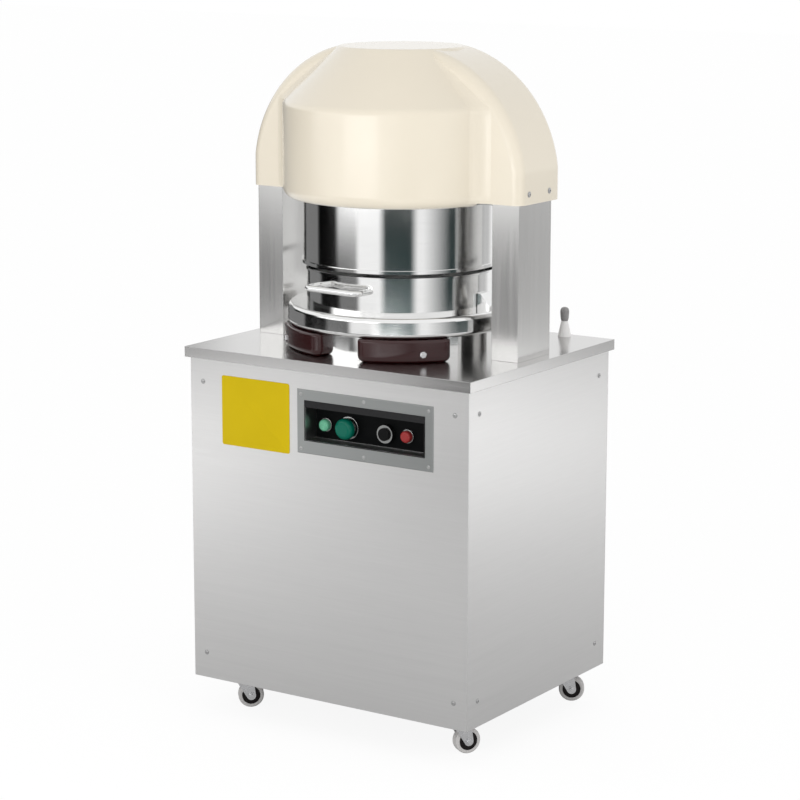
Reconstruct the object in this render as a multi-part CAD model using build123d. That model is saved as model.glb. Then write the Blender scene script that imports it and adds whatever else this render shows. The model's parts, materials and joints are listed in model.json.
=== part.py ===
from build123d import *
import math
import os

# Electric dough divider, millimetres. +Z up, front is -Y, origin on the floor under the cabinet's centre.

# Overall stack from the floor up
caster_height = 70.0
cabinet_width = 624.0
cabinet_depth = 506.0
cabinet_height = 630.0
lip_height = 20.0
table_overhang = 8.0
table_sheet = 3.0
panel_sheet = 1.5
bar = 30.0
corner_plate = 70.0
corner_plate_thickness = 6.0

# Columns, pull rods and hood
column_inset = 18.0
column_width = 57.0
column_depth = 114.0
column_wall = 3.0
column_height = 330.0
foot_thickness = 8.0
rod_inset = 25.0
rod_radius = 14.0
rod_neck_radius = 10.0
bush_radius = 18.0
bush_flange_radius = 21.0
bush_flange = 4.0
hood_wall = 4.0
hood_side_gap = 4.0
hood_front_gap = 6.0
hood_rear_gap = 19.0
hood_margin = 38.0
hood_body_bottom = 282.0
hood_ear_lift = 8.0
hood_break = 178.0
hood_height = 283.0
hood_cone_run = 106.0
hood_arch_run = 202.0
hood_shoulder = 68.0
hood_bulge = 48.0
hood_kink_round = 60.0
hood_edge_round = 18.0
hood_break_round = 18.0
hood_rim_round = 22.0
hood_top_round = 8.0
hood_cove = 42.0
hood_cove_end = 8.0
hood_cove_sink = 0.15
hood_boss_radius = 7.0
hood_boss_inset = 21.0
hood_boss_rise = 19.0

# Head: fixed plate and knife housing, moving crosshead with knives and press block
head_plate_thickness = 8.0
head_plate_gap = 2.0
shelf_thickness = 6.0
housing_over = 6.0
housing_wall = 3.0
housing_bottom = 160.0
housing_lip = 3.0
housing_lip_height = 6.0
housing_flange_width = 10.0
housing_flange = 4.0
stroke = 74.0
stroke_spare = 3.0
beam_thickness = 33.0
beam_boss_radius = 17.0
beam_hub_radius = 62.0
nut_height = 10.0
nut_across_flats = 24.0
stem_radius = 34.0
stem_rib = 12.0
knife_recess = 8.0
blade_height = 45.0
blade_thickness = 3.0
blade_clearance = 1.0
inner_ring_radius = 58.0
middle_ring_radius = 115.0
knife_gap = 8.0
inner_cells = 4
middle_cells = 12
outer_cells = 20
knife_boss_radius = 8.5
knife_boss_height = 14.0
post_radius = 6.0
post_count = 4
press_travel = 30.0
press_top = 15.0
press_rest_gap = 0.3
spring_length = 54.0
spring_radius = 11.0
spring_wall = 3.0
carrier_gap = 25.0
carrier_thickness = 15.0

# Pan and the base it stands on
pan_margin = 36.0
pan_wall = 3.0
pan_height = 69.0
pan_rim = 2.5
pan_rim_height = 4.0
pan_plate_gap = 0.3
pan_plate_thickness = 8.7
handle_azimuth = -5.0
handle_spread = 20.0
handle_standoff = 36.0
handle_rod = 5.5
handle_bend = 14.0
handle_height = 43.0
base_gap = 21.0
base_disc_height = 39.5
base_disc_round = 9.0
pedestal_inset = 22.0
pedestal_height = 43.5
base_wall = 10.0
seat_block_proud = 6.0
seat_block_height = 43.0
seat_block_round = 5.0
seat_corner_round = 16.0
seat_foot_round = 12.0
seat_gap_angle = 11.0
seat_end_angle = 59.0
guide_height = 30.0
guide_length = 26.0
guide_width = 32.0
guide_foot = 8.0
guide_nose = 7.0

# Drive in the cabinet
gear_module = 4.0
pinion_teeth = 18
pressure_angle = 20.0
gear_backlash = 0.3
centre_spread = 0.2
pinion_width = 24.0
rack_section = 30.0
rack_length = 150.0
rack_teeth = 9
shaft_height = 400.0
shaft_radius = 12.5
shaft_overhang = 8.0
bed_thickness = 8.0
bed_drop = 112.0
bed_front = 85.0
bed_back = 95.0
bearing_inset = 40.0
bearing_width = 40.0
bearing_depth = 64.0
reducer_width = 110.0
reducer_depth = 132.0
reducer_crown = 62.0
motor_radius = 56.0
motor_length = 176.0
motor_drop = 50.0
motor_fins = 7

# Controls in the front panel
recess_inset = 224.5
recess_drop = 98.0
recess_width = 263.0
recess_tall = 62.0
recess_depth = 38.0
bezel_width = 300.0
bezel_tall = 121.0
bezel_lift = 3.5
bezel_sheet = 2.0
bezel_bevel = 1.2
box_margin = 4.0
control_row_drop = 6.0
control_plate_sheet = 2.0
control_plate_gap = 1.0
lamp_radius = 11.0
lamp_length = 13.0
green_lamp_x = -109.0
start_button_x = -58.0
stop_button_x = 28.0
red_lamp_x = 72.5
start_head_radius = 20.0
start_head_length = 12.0
start_stem_radius = 8.0
start_collar_radius = 15.0
start_collar_length = 7.0
button_travel = 4.0
button_gap = 1.0
stop_cap_radius = 12.0
stop_collar_radius = 17.0
stop_collar_length = 12.0
stop_proud = 4.5
button_fit = 0.1
switch_block = 30.0
switch_block_length = 38.0

# Small fittings
grommet_inset = 92.0
grommet_height = 90.0
grommet_bore = 5.0
grommet_neck = 9.0
grommet_radius = 13.0
grommet_outside = 6.0
grommet_inside = 4.0
knob_side_inset = 90.0
knob_rear_inset = 15.0
knob_base_radius = 13.0
knob_base_top_radius = 6.5
knob_base_height = 30.0
knob_radius = 8.5
knob_length = 27.0
knob_stud_radius = 3.0
knob_stud_length = 12.0

# Casters
caster_side_inset = 60.5
caster_end_inset = 58.5
caster_plate = 60.0
caster_plate_thickness = 3.0
kingpin_radius = 6.0
kingpin_length = 11.0
swivel_gap = 0.3
swivel_radius = 21.0
swivel_thickness = 8.5
wheel_radius = 25.0
wheel_width = 20.0
wheel_round = 4.0
hub_radius = 14.0
hub_recess = 2.0
hub_gap = 0.5
axle_radius = 4.0
axle_head_radius = 6.5
axle_head = 2.5
fork_leg = 2.5
fork_foot_radius = 9.0
fork_root_half = 17.0
caster_trail = 22.0
trail_angles = {"front_left": 40.0, "front_right": 56.0, "rear_left": 48.0, "rear_right": 30.0}
running_fit = 0.05

# Levels and places that follow from the driving sizes
frame_bottom = caster_height
cabinet_top = caster_height + cabinet_height
table_top_z = cabinet_top + lip_height
table_under = table_top_z - table_sheet
half_w = cabinet_width / 2
half_d = cabinet_depth / 2
frame_half_w = half_w - panel_sheet
frame_half_d = half_d - panel_sheet
column_outer_x = half_w - column_inset
column_inner_x = column_outer_x - column_width
rod_x = column_inner_x + rod_inset
base_disc_radius = column_inner_x - base_gap
pedestal_radius = base_disc_radius - pedestal_inset
seat_block_radius = base_disc_radius + seat_block_proud
pan_radius = base_disc_radius - pan_margin
pan_inner = pan_radius - pan_wall
outer_ring_radius = pan_inner - knife_gap
housing_radius = pan_radius + housing_over
housing_inner = housing_radius - housing_wall
housing_flange_radius = housing_radius + housing_flange_width
carrier_radius = housing_inner - carrier_gap
hood_body_radius = housing_radius + hood_margin
hood_mouth_radius = hood_body_radius - hood_rim_round
head_plate_radius = hood_mouth_radius - head_plate_gap
column_half_d = column_depth / 2
column_top = table_top_z + column_height
hood_half_w = column_outer_x + hood_side_gap + hood_wall
hood_front = column_half_d + hood_front_gap + hood_wall
hood_rear = column_half_d + hood_rear_gap + hood_wall
hood_flat_half = hood_half_w - hood_arch_run
hood_cone_top_radius = hood_body_radius - hood_cone_run
hood_bottom = table_top_z + hood_body_bottom
head_plate_bottom = hood_bottom + housing_flange
head_plate_top = head_plate_bottom + head_plate_thickness
housing_low = table_top_z + housing_bottom
beam_bottom = head_plate_top + bush_flange + stroke + stroke_spare
beam_top = beam_bottom + beam_thickness
knife_low = housing_low + knife_recess
knife_high = knife_low + blade_height
press_under = knife_high + press_rest_gap
press_high = press_under + press_top
carrier_low = press_high + spring_length
carrier_high = carrier_low + carrier_thickness
press_radius = outer_ring_radius - blade_thickness - blade_clearance
base_top = table_top_z + pedestal_height + base_disc_height
recess_x = half_w - recess_inset
recess_z = cabinet_top - recess_drop
control_z = recess_z - control_row_drop
panel_front = -half_d
panel_inside = panel_front + panel_sheet
box_back = panel_inside + recess_depth
plate_back = box_back - panel_sheet
plate_face = plate_back - control_plate_sheet
pinion_radius = gear_module * pinion_teeth / 2
rack_tip = rack_section / 2
pitch_line = rack_tip - gear_module
shaft_y = pitch_line + pinion_radius + centre_spread
shaft_z = caster_height + shaft_height
bed_top = shaft_z - bed_drop
rack_low = shaft_z - rack_section
bearing_x = rod_x - bearing_inset
grommet_x = grommet_inset - half_w
knob_x = half_w - knob_side_inset
knob_y = half_d - knob_rear_inset
caster_x = frame_half_w - caster_side_inset
caster_y = frame_half_d - caster_end_inset
sides = {"left": -1, "right": 1}

os.makedirs("parts", exist_ok=True)


def save(shape, node):
    """Write one piece to its own file."""
    export_step(shape, f"parts/{node}.step")


def block(x0, x1, y0, y1, z0, z1):
    """A box given by its limits."""
    size = Box(x1 - x0, y1 - y0, z1 - z0)
    return Pos((x0 + x1) / 2, (y0 + y1) / 2, (z0 + z1) / 2) * size


def span(x0, x1, y0, y1, z0, z1):
    """A box between two corners given in any order."""
    return block(min(x0, x1), max(x0, x1), min(y0, y1), max(y0, y1), min(z0, z1), max(z0, z1))


def rod(radius, z0, z1, x=0.0, y=0.0):
    """An upright cylinder between two levels."""
    return Pos(x, y, (z0 + z1) / 2) * Cylinder(radius, z1 - z0)


def rod_y(radius, y0, y1, x, z):
    """A cylinder along Y between two depths."""
    return Pos(x, (y0 + y1) / 2, z) * Rot(90, 0, 0) * Cylinder(radius, y1 - y0)


def rod_x_axis(radius, x0, x1, y, z):
    """A cylinder along X between two stations."""
    return Pos((x0 + x1) / 2, y, z) * Rot(0, 90, 0) * Cylinder(radius, x1 - x0)


def tube_z(outer, inner, z0, z1, x=0.0, y=0.0):
    """An upright tube between two levels."""
    return rod(outer, z0, z1, x, y) - rod(inner, z0, z1, x, y)


def turned(points, angle=360.0):
    """A closed outline of radius and height points, turned about Z."""
    outline = make_face(Polyline(*[(r, 0, z) for r, z in points], close=True))
    return revolve(outline, Axis.Z, angle)


def hexagon(across_flats, z0, z1, x=0.0, y=0.0):
    """An upright hexagonal prism."""
    outline = RegularPolygon(across_flats / 2, 6, major_radius=False)
    return Pos(x, y, z0) * extrude(outline, z1 - z0)


# Cabinet

def base_frame():
    """Welded square-bar frame: two rings, four posts, rails for the drive bed and caster plates."""
    w, d = frame_half_w, frame_half_d
    bars = []
    for z in (frame_bottom, table_under - bar):
        for s in (-1, 1):
            bars.append(span(-w, w, s * d, s * (d - bar), z, z + bar))
            bars.append(span(s * w, s * (w - bar), -d + bar, d - bar, z, z + bar))
    rail_top = bed_top - bed_thickness
    for sx in (-1, 1):
        bars.append(span(sx * w, sx * (w - bar), -d + bar, d - bar, rail_top - bar, rail_top))
        for sy in (-1, 1):
            bars.append(span(sx * w, sx * (w - bar), sy * d, sy * (d - bar), frame_bottom + bar, table_under - bar))
            x_in = sx * (w - bar)
            y_in = sy * (d - bar)
            bars.append(span(x_in, x_in - sx * corner_plate, y_in, y_in - sy * corner_plate,
                             frame_bottom, frame_bottom + corner_plate_thickness))
    return Compound(children=bars)


def table_top():
    """Folded tray with a lip all round and a hole for each rod's bush."""
    w = half_w + table_overhang
    d = half_d + table_overhang
    tray = block(-w, w, -d, d, cabinet_top, table_top_z)
    tray -= block(-w + table_sheet, w - table_sheet, -d + table_sheet, d - table_sheet, cabinet_top, table_under)
    for s in (-1, 1):
        tray -= rod(bush_radius, table_under, table_top_z, s * rod_x)
    return tray


def front_panel():
    """Front cover with the cut-out of the control recess."""
    panel = block(-half_w, half_w, panel_front, panel_inside, frame_bottom, table_under)
    return panel - recess_cut(panel_front, panel_inside)


def recess_cut(y0, y1):
    """The opening that the control recess needs between two depths."""
    return block(recess_x - recess_width / 2, recess_x + recess_width / 2, y0, y1,
                 recess_z - recess_tall / 2, recess_z + recess_tall / 2)


def back_panel():
    """Rear cover with the hole of the cable grommet."""
    panel = block(-half_w, half_w, half_d - panel_sheet, half_d, frame_bottom, table_under)
    return panel - rod_y(grommet_neck, half_d - panel_sheet, half_d, grommet_x, caster_height + grommet_height)


def side_panel(s):
    """Cover of one side, between the front and rear covers."""
    return span(s * frame_half_w, s * half_w, -frame_half_d, frame_half_d, frame_bottom, table_under)


save(base_frame(), "base_frame")
save(table_top(), "table_top")
save(front_panel(), "front_panel")
save(back_panel(), "back_panel")
for side, s in sides.items():
    save(side_panel(s), f"{side}_panel")


# Columns, hood and head plate

def column(s):
    """Square column of folded sheet, with a foot, a shelf for the head plate and a gap above it for the plate's arm."""
    x0 = column_inner_x
    x1 = column_outer_x - column_wall
    inside = column_half_d - column_wall
    post = block(x0, column_outer_x, -column_half_d, column_half_d, table_top_z, column_top)
    post -= block(x0 + column_wall, x1, -inside, inside, table_top_z, column_top)
    post -= block(x0, x1, -inside, inside, head_plate_bottom, column_top)
    foot = block(x0, x1, -inside, inside, table_top_z, table_top_z + foot_thickness)
    shelf = block(x0, x1, -inside, inside, head_plate_bottom - shelf_thickness, head_plate_bottom)
    hole = rod(bush_flange_radius + 1, table_top_z, column_top, rod_x)
    post += foot - hole
    post += shelf - hole
    return post if s > 0 else mirror(post, Plane.YZ)


def bulged(start, end, rise):
    """An arc between two points that stands out to the left of the chord by a rise."""
    dx = end[0] - start[0]
    dy = end[1] - start[1]
    chord = math.hypot(dx, dy)
    mid = ((start[0] + end[0]) / 2 - rise * dy / chord, (start[1] + end[1]) / 2 + rise * dx / chord)
    return ThreePointArc(start, mid, end)


def hood_arch(inset, low):
    """The arch over the columns down to a level, drawn in by a wall, with rounded front and rear edges."""
    half = hood_half_w - inset
    top = hood_bottom + hood_height - inset
    shoulder = hood_bottom + hood_shoulder
    flat = hood_flat_half - inset
    outline = make_face(Curve() + [
        Line((-half, low), (-half, shoulder)),
        bulged((-half, shoulder), (-flat, top), hood_bulge),
        Line((-flat, top), (flat, top)),
        bulged((flat, top), (half, shoulder), hood_bulge),
        Line((half, shoulder), (half, low)),
        Line((half, low), (-half, low)),
    ])
    outline = fillet([v for v in outline.vertices() if v.Y > low + 1], hood_kink_round)
    depth = (hood_front + hood_rear) / 2 - inset
    arch = extrude(Plane.XZ * outline, depth, both=True)
    rims = [e for e in arch.edges() if abs(abs(e.center().Y) - depth) < 0.01 and e.center().Z > low + 1]
    arch = fillet(rims, hood_edge_round - inset)
    return Pos(0, (hood_rear - hood_front) / 2, 0) * arch


def hood_body(inset, low):
    """The round body with a coned top down to a level, drawn in by a wall, with a rolled lower edge."""
    radius = hood_body_radius - inset
    top = hood_bottom + hood_height - inset
    break_z = hood_bottom + hood_break
    body = turned([(0, low), (radius, low), (radius, break_z), (hood_cone_top_radius - inset, top), (0, top)])
    for z, bend in ((low, hood_rim_round), (break_z, hood_break_round), (top, hood_top_round)):
        ring = [e for e in body.edges().filter_by(GeomType.CIRCLE) if abs(e.center().Z - z) < 1]
        body = fillet(ring, bend - inset)
    return body


def hood_cove_levels():
    """Levels of the cove with the body's radius at each and the cove's own radius."""
    turn = math.atan2(hood_cone_run, hood_height - hood_break)
    foot = hood_bottom + hood_break - hood_break_round * math.tan(turn / 2)
    levels = []
    for rise in (hood_ear_lift, hood_rim_round * 0.65, hood_rim_round):
        roll = hood_rim_round - math.sqrt(hood_rim_round ** 2 - (hood_rim_round - rise) ** 2)
        levels.append((hood_bottom + rise, hood_body_radius - roll, hood_cove))
    for share in (0.0, 0.5, 1.0):
        back = hood_break_round * (1 - math.cos(turn * share))
        rise = hood_break_round * math.sin(turn * share)
        levels.append((foot + rise, hood_body_radius - back, hood_cove))
    low_z, low_radius, low_bend = levels[-1]
    run = hood_bottom + hood_height - hood_top_round - low_z
    for share in (0.3, 0.6, 0.9):
        bend = low_bend + (hood_cove_end - low_bend) * share
        levels.append((low_z + run * share, low_radius - run * share * math.tan(turn), bend))
    return levels


def hood_cove_section(z, radius, bend, reach):
    """Cut through the cove between the body and a face of the arch, on the right."""
    radius -= hood_cove_sink
    reach -= hood_cove_sink
    centre = Vector(math.sqrt((radius + bend) ** 2 - (reach + bend) ** 2), reach + bend, 0)
    on_body = centre * (radius / (radius + bend))
    on_arch = Vector(centre.X, reach, 0)
    middle = centre + ((on_body - centre) + (on_arch - centre)).normalized() * bend
    inside = reach - hood_wall / 2
    corner = math.sqrt(radius ** 2 - reach ** 2) - hood_wall / 2
    edge = Curve() + [
        ThreePointArc(on_body, middle, on_arch),
        Polyline(on_arch, (centre.X, inside), (corner, inside), on_body * (1 - hood_wall / 2 / radius), on_body),
    ]
    return Pos(0, 0, z) * make_face(edge)


def hood_coves():
    """Moulded fillets where the round body runs into the front and the rear of the arch."""
    coves = []
    for reach, plane in ((hood_front, Plane.XZ), (hood_rear, None)):
        cove = loft([hood_cove_section(z, radius, bend, reach) for z, radius, bend in hood_cove_levels()], ruled=True)
        cove = mirror(cove, plane) if plane else cove
        coves += [cove, mirror(cove, Plane.YZ)]
    return coves


def hood():
    """Moulded hood, open below, with its ears over the columns and seated on them by screw bosses."""
    ear_low = hood_bottom + hood_ear_lift
    below = hood_bottom - hood_wall
    shell = hood_arch(0, ear_low) + hood_body(0, hood_bottom)
    shell += hood_coves()
    shell -= hood_arch(hood_wall, below)
    shell -= hood_body(hood_wall, hood_bottom + hood_wall)
    shell -= rod(hood_mouth_radius, below, hood_bottom + hood_rim_round)
    boss_y = column_half_d - hood_boss_inset
    boss_end = hood_half_w - hood_wall / 2
    for y in (-boss_y, boss_y):
        boss = rod_x_axis(hood_boss_radius, column_outer_x, boss_end, y, ear_low + hood_boss_rise)
        shell += [boss, mirror(boss, Plane.YZ)]
    return shell


def head_plate():
    """Plate across the columns that carries the knife housing and guides the rods."""
    arm = column_outer_x - column_wall
    depth = column_half_d - column_wall
    plate = rod(head_plate_radius, head_plate_bottom, head_plate_top)
    plate += block(-arm, arm, -depth, depth, head_plate_bottom, head_plate_top)
    plate -= rod(housing_inner, head_plate_bottom, head_plate_top)
    for s in (-1, 1):
        plate -= rod(bush_radius, head_plate_bottom, head_plate_top, s * rod_x)
    return plate


def knife_housing():
    """Drum around the knives with a lip below, and the flange ring that hangs it from the head plate."""
    r = housing_radius
    drum = turned([
        (housing_inner, housing_low),
        (r + housing_lip, housing_low),
        (r + housing_lip, housing_low + housing_lip_height),
        (r, housing_low + housing_lip_height),
        (r, head_plate_bottom),
        (housing_inner, head_plate_bottom),
    ])
    return Compound(children=[drum, tube_z(housing_flange_radius, r, hood_bottom, head_plate_bottom)])


def guide_bushes():
    """Flanged bushes for the rods, two in the table and two in the head plate."""
    bushes = []
    for s in (-1, 1):
        for low, seat in ((table_under, table_top_z), (head_plate_bottom, head_plate_top)):
            bush = rod(bush_radius, low, seat, s * rod_x)
            bush += rod(bush_flange_radius, seat, seat + bush_flange, s * rod_x)
            bushes.append(bush - rod(rod_radius + running_fit, low, seat + bush_flange, s * rod_x))
    return Compound(children=bushes)


for side, s in sides.items():
    save(column(s), f"{side}_column")
save(hood(), "hood")
save(head_plate(), "head_plate")
save(knife_housing(), "knife_housing")
save(guide_bushes(), "guide_bushes")


# Moving head

def rack_gap(z):
    """One tooth gap of a rack, open towards +Y, at a level."""
    deep = pitch_line - 1.25 * gear_module
    slope = math.tan(math.radians(pressure_angle))
    half = math.pi * gear_module / 4 + gear_backlash / 2
    low = half - (pitch_line - deep) * slope
    high = half + (rack_tip - pitch_line) * slope
    outline = Polyline((0, deep, z - low), (0, rack_tip, z - high), (0, rack_tip, z + high), (0, deep, z + low), close=True)
    return extrude(make_face(outline), rack_section, dir=(1, 0, 0), both=True)


def pull_rod(s):
    """Round rod from the crosshead down into the cabinet, with a toothed foot."""
    bar = rod(rod_neck_radius, beam_bottom, beam_top + nut_height)
    bar += rod(rod_radius, rack_low + rack_length, beam_bottom)
    half = rack_section / 2
    foot = block(-half, half, -half, half, rack_low, rack_low + rack_length)
    pitch = math.pi * gear_module
    foot -= [rack_gap(shaft_z + k * pitch) for k in range(-1, rack_teeth - 1)]
    return Pos(s * rod_x, 0, 0) * (bar + foot)


def crosshead():
    """Cast beam across both rods with the hub and stem that carry the knives."""
    outline = make_hull((Circle(beam_hub_radius) + [Pos(s * rod_x, 0) * Circle(beam_boss_radius) for s in (-1, 1)]).edges())
    beam = Pos(0, 0, beam_bottom) * extrude(outline, beam_thickness)
    beam -= [rod(rod_neck_radius, beam_bottom, beam_top, s * rod_x) for s in (-1, 1)]
    beam += rod(stem_radius, carrier_high, beam_bottom)
    rib_reach = rod_x - rod_radius - beam_boss_radius
    for s in (-1, 1):
        web = Polyline((0, 0, carrier_high), (s * stem_radius * 2, 0, carrier_high),
                       (s * rib_reach / 2, 0, beam_bottom), (0, 0, beam_bottom), close=True)
        beam += extrude(make_face(web), stem_rib / 2, dir=(0, 1, 0), both=True)
    return beam


def rod_nuts():
    """Nuts that hold the rods in the crosshead."""
    nuts = []
    for s in (-1, 1):
        nut = hexagon(nut_across_flats, beam_top, beam_top + nut_height, s * rod_x)
        nuts.append(nut - rod(rod_neck_radius, beam_top, beam_top + nut_height, s * rod_x))
    return Compound(children=nuts)


def spokes(thickness, start, end, count, z0, z1):
    """Flat spokes of one zone of the knives, between two radii."""
    half = thickness / 2
    return [Rot(0, 0, 360 * (k + 0.5) / count) * block(start, end, -half, half, z0, z1) for k in range(count)]


def blade_slots(width, z0, z1):
    """Slots that let every ring and spoke of the knives through."""
    half = width / 2
    slots = [tube_z(r + half, r - half, z0, z1) for r in (inner_ring_radius, middle_ring_radius)]
    slots += spokes(width, 0.0, inner_ring_radius, inner_cells, z0, z1)
    slots += spokes(width, inner_ring_radius, middle_ring_radius, middle_cells, z0, z1)
    slots += spokes(width, middle_ring_radius, outer_ring_radius, outer_cells, z0, z1)
    return Part() + slots


def post_places():
    """Plan places of the knife posts on the middle ring."""
    return [Rot(0, 0, 360 * (k + 0.5) / post_count) * Pos(middle_ring_radius, 0, 0) for k in range(post_count)]


def knife_grid():
    """Knives welded from rings and spokes, with a boss for each post on the middle ring."""
    half = blade_thickness / 2
    wall = outer_ring_radius - blade_thickness
    outer = tube_z(outer_ring_radius, wall, knife_low, knife_high)
    middle = tube_z(middle_ring_radius + half, middle_ring_radius - half, knife_low, knife_high)
    for place in post_places():
        middle += place * rod(knife_boss_radius, knife_high - knife_boss_height, knife_high)
    inner = tube_z(inner_ring_radius + half, inner_ring_radius - half, knife_low, knife_high)
    cross = Part() + spokes(blade_thickness, 0.0, inner_ring_radius, inner_cells, knife_low, knife_high)
    blades = [cross - inner]
    for blade in spokes(blade_thickness, inner_ring_radius, middle_ring_radius, middle_cells, knife_low, knife_high):
        blades.append(blade - rod(inner_ring_radius + half, knife_low, knife_high) - middle)
    for blade in spokes(blade_thickness, middle_ring_radius, wall + half, outer_cells, knife_low, knife_high):
        blades.append(blade - rod(middle_ring_radius + half, knife_low, knife_high) - middle - outer)
    return Compound(children=[outer, middle, inner] + [solid for blade in blades for solid in blade.solids()])


def press_block():
    """Press plate whose pads fill the cells between the knives."""
    plate = rod(press_radius, knife_low, press_high)
    slot = blade_thickness + 2 * blade_clearance
    plate -= blade_slots(slot, knife_low, press_under)
    for place in post_places():
        plate -= place * rod(knife_boss_radius + blade_clearance, knife_low, press_under)
        plate -= place * rod(post_radius + running_fit, press_under, press_high)
    return plate


def knife_carrier():
    """Disc under the stem that the knife posts hang from."""
    return rod(carrier_radius, carrier_low, carrier_high)


def knife_posts():
    """Posts between the carrier and the knife grid; the press plate slides on them."""
    return Compound(children=[place * rod(post_radius, knife_high, carrier_low) for place in post_places()])


def press_springs():
    """Sleeves in the place of the press springs, round the posts."""
    inner = spring_radius - spring_wall
    return Compound(children=[place * tube_z(spring_radius, inner, press_high, carrier_low) for place in post_places()])


for side, s in sides.items():
    save(pull_rod(s), f"{side}_pull_rod")
save(crosshead(), "crosshead")
save(rod_nuts(), "rod_nuts")
save(knife_grid(), "knife_grid")
save(press_block(), "press_block")
save(knife_carrier(), "knife_carrier")
save(knife_posts(), "knife_posts")
save(press_springs(), "press_springs")


# Pan and base

def pan_base():
    """Polished base, hollow below: a pedestal on the table under a wider disc for the pan."""
    disc_low = table_top_z + pedestal_height
    base = rod(base_disc_radius, disc_low, base_top)
    base = fillet(base.edges().filter_by(GeomType.CIRCLE), base_disc_round)
    base += rod(pedestal_radius, table_top_z, disc_low + base_disc_round)
    return base - rod(pedestal_radius - base_wall, table_top_z, base_top - base_wall)


def seat_blocks():
    """Cast blocks bolted to the table round the pedestal, two in front and two behind, with rounded outer edges."""
    depth = seat_block_radius - pedestal_radius
    top = table_top_z + seat_block_height
    outline = Pos(pedestal_radius + depth / 2, table_top_z + seat_block_height / 2) * Rectangle(depth, seat_block_height)
    sector = revolve(Plane.XZ * outline, Axis.Z, seat_end_angle - seat_gap_angle)
    reach = pedestal_radius + depth / 4
    corners = [e for e in sector.edges().filter_by(Axis.Z) if math.hypot(e.center().X, e.center().Y) > reach]
    sector = fillet(corners, seat_corner_round)
    for z, bend in ((top, seat_block_round), (table_top_z, seat_foot_round)):
        level = [e for e in sector.edges() if abs(e.center().Z - z) < 0.01]
        sector = fillet([e for e in level if math.hypot(e.center().X, e.center().Y) > reach], bend)
    blocks = []
    for start in (seat_gap_angle, -seat_end_angle, 180 + seat_gap_angle, 180 - seat_end_angle):
        blocks.append(Rot(0, 0, start - 90) * sector)
    return Compound(children=blocks)


def pan_guides():
    """Gussets on the base, left and right, that keep the pan centred."""
    x0 = pan_radius + running_fit * 10
    x1 = x0 + guide_length
    guides = []
    for s in (-1, 1):
        outline = Polyline(
            (s * x0, 0, base_top), (s * x0, 0, base_top + guide_height),
            (s * (x0 + guide_nose), 0, base_top + guide_height),
            (s * x1, 0, base_top + guide_foot), (s * x1, 0, base_top), close=True)
        guides.append(extrude(make_face(outline), guide_width / 2, dir=(0, 1, 0), both=True))
    return Compound(children=guides)


def pan_ring():
    """Pan wall with a rim above."""
    top = base_top + pan_height
    return turned([
        (pan_inner, base_top),
        (pan_radius, base_top),
        (pan_radius, top - pan_rim_height),
        (pan_radius + pan_rim, top - pan_rim_height),
        (pan_radius + pan_rim, top),
        (pan_inner, top),
    ])


def pan_plate():
    """Floor of the pan, let into the wall just clear of the base."""
    low = base_top + pan_plate_gap
    return rod(pan_inner, low, low + pan_plate_thickness)


def pan_handle(azimuth):
    """Bent-rod handle with both feet on the pan wall."""
    foot = math.radians(handle_spread)
    reach = pan_radius + handle_standoff
    half = pan_radius * math.sin(foot)
    start = pan_radius * math.cos(foot) - handle_rod
    z = base_top + handle_height
    path = FilletPolyline((start, -half, z), (reach - handle_rod, -half, z), (reach - handle_rod, half, z),
                          (start, half, z), radius=handle_bend)
    section = Plane((start, -half, z), z_dir=(1, 0, 0)) * Circle(handle_rod)
    bail = sweep(section, path)
    bail -= rod(pan_radius, base_top, base_top + pan_height)
    return Rot(0, 0, azimuth - 90) * bail


save(pan_base(), "pan_base")
save(seat_blocks(), "seat_blocks")
save(pan_guides(), "pan_guides")
save(pan_ring(), "pan_ring")
save(pan_plate(), "pan_plate")
save(pan_handle(handle_azimuth), "front_pan_handle")
save(pan_handle(handle_azimuth + 180), "rear_pan_handle")


# Drive

def pinion(s):
    """Spur pinion with involute flanks, a tooth facing its rack."""
    base = pinion_radius * math.cos(math.radians(pressure_angle))
    tip = pinion_radius + gear_module
    root = pinion_radius - 1.25 * gear_module
    half_pitch = math.pi / (2 * pinion_teeth) - gear_backlash / (2 * pinion_radius)

    def flank(r):
        turn = math.acos(min(1.0, base / r))
        involute = math.tan(turn) - turn
        pitch_turn = math.radians(pressure_angle)
        return half_pitch + math.tan(pitch_turn) - pitch_turn - involute

    radii = (root - 1, base, pinion_radius - 0.5 * gear_module, pinion_radius, pinion_radius + 0.5 * gear_module, tip)
    right = [(r * math.cos(flank(max(r, base))), r * math.sin(flank(max(r, base)))) for r in radii]
    left = [(x, -y) for x, y in reversed(right)]
    tooth = extrude(make_face(Polyline(*right, *left, close=True)), pinion_width)
    teeth = [Rot(0, 0, 360 * k / pinion_teeth) * tooth for k in range(pinion_teeth)]
    wheel = Part() + [rod(root, 0, pinion_width)] + teeth
    wheel -= rod(shaft_radius, 0, pinion_width)
    standing = Rot(0, 90, 0) * Rot(0, 0, 90) * wheel
    return Pos(s * rod_x - pinion_width / 2, shaft_y, shaft_z) * standing


def drive_shaft():
    """Shaft across the cabinet from pinion to pinion."""
    end = rod_x + pinion_width / 2 + shaft_overhang
    return rod_x_axis(shaft_radius, -end, end, shaft_y, shaft_z)


def shaft_bearings():
    """Two plummer blocks on the drive bed."""
    blocks = []
    half = bearing_depth / 2
    for s in (-1, 1):
        x0 = s * bearing_x - bearing_width / 2
        x1 = s * bearing_x + bearing_width / 2
        housing = block(x0, x1, shaft_y - half, shaft_y + half, bed_top, shaft_z)
        housing += rod_x_axis(half, x0, x1, shaft_y, shaft_z)
        blocks.append(housing - rod_x_axis(shaft_radius + running_fit, x0, x1, shaft_y, shaft_z))
    return Compound(children=blocks)


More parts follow.
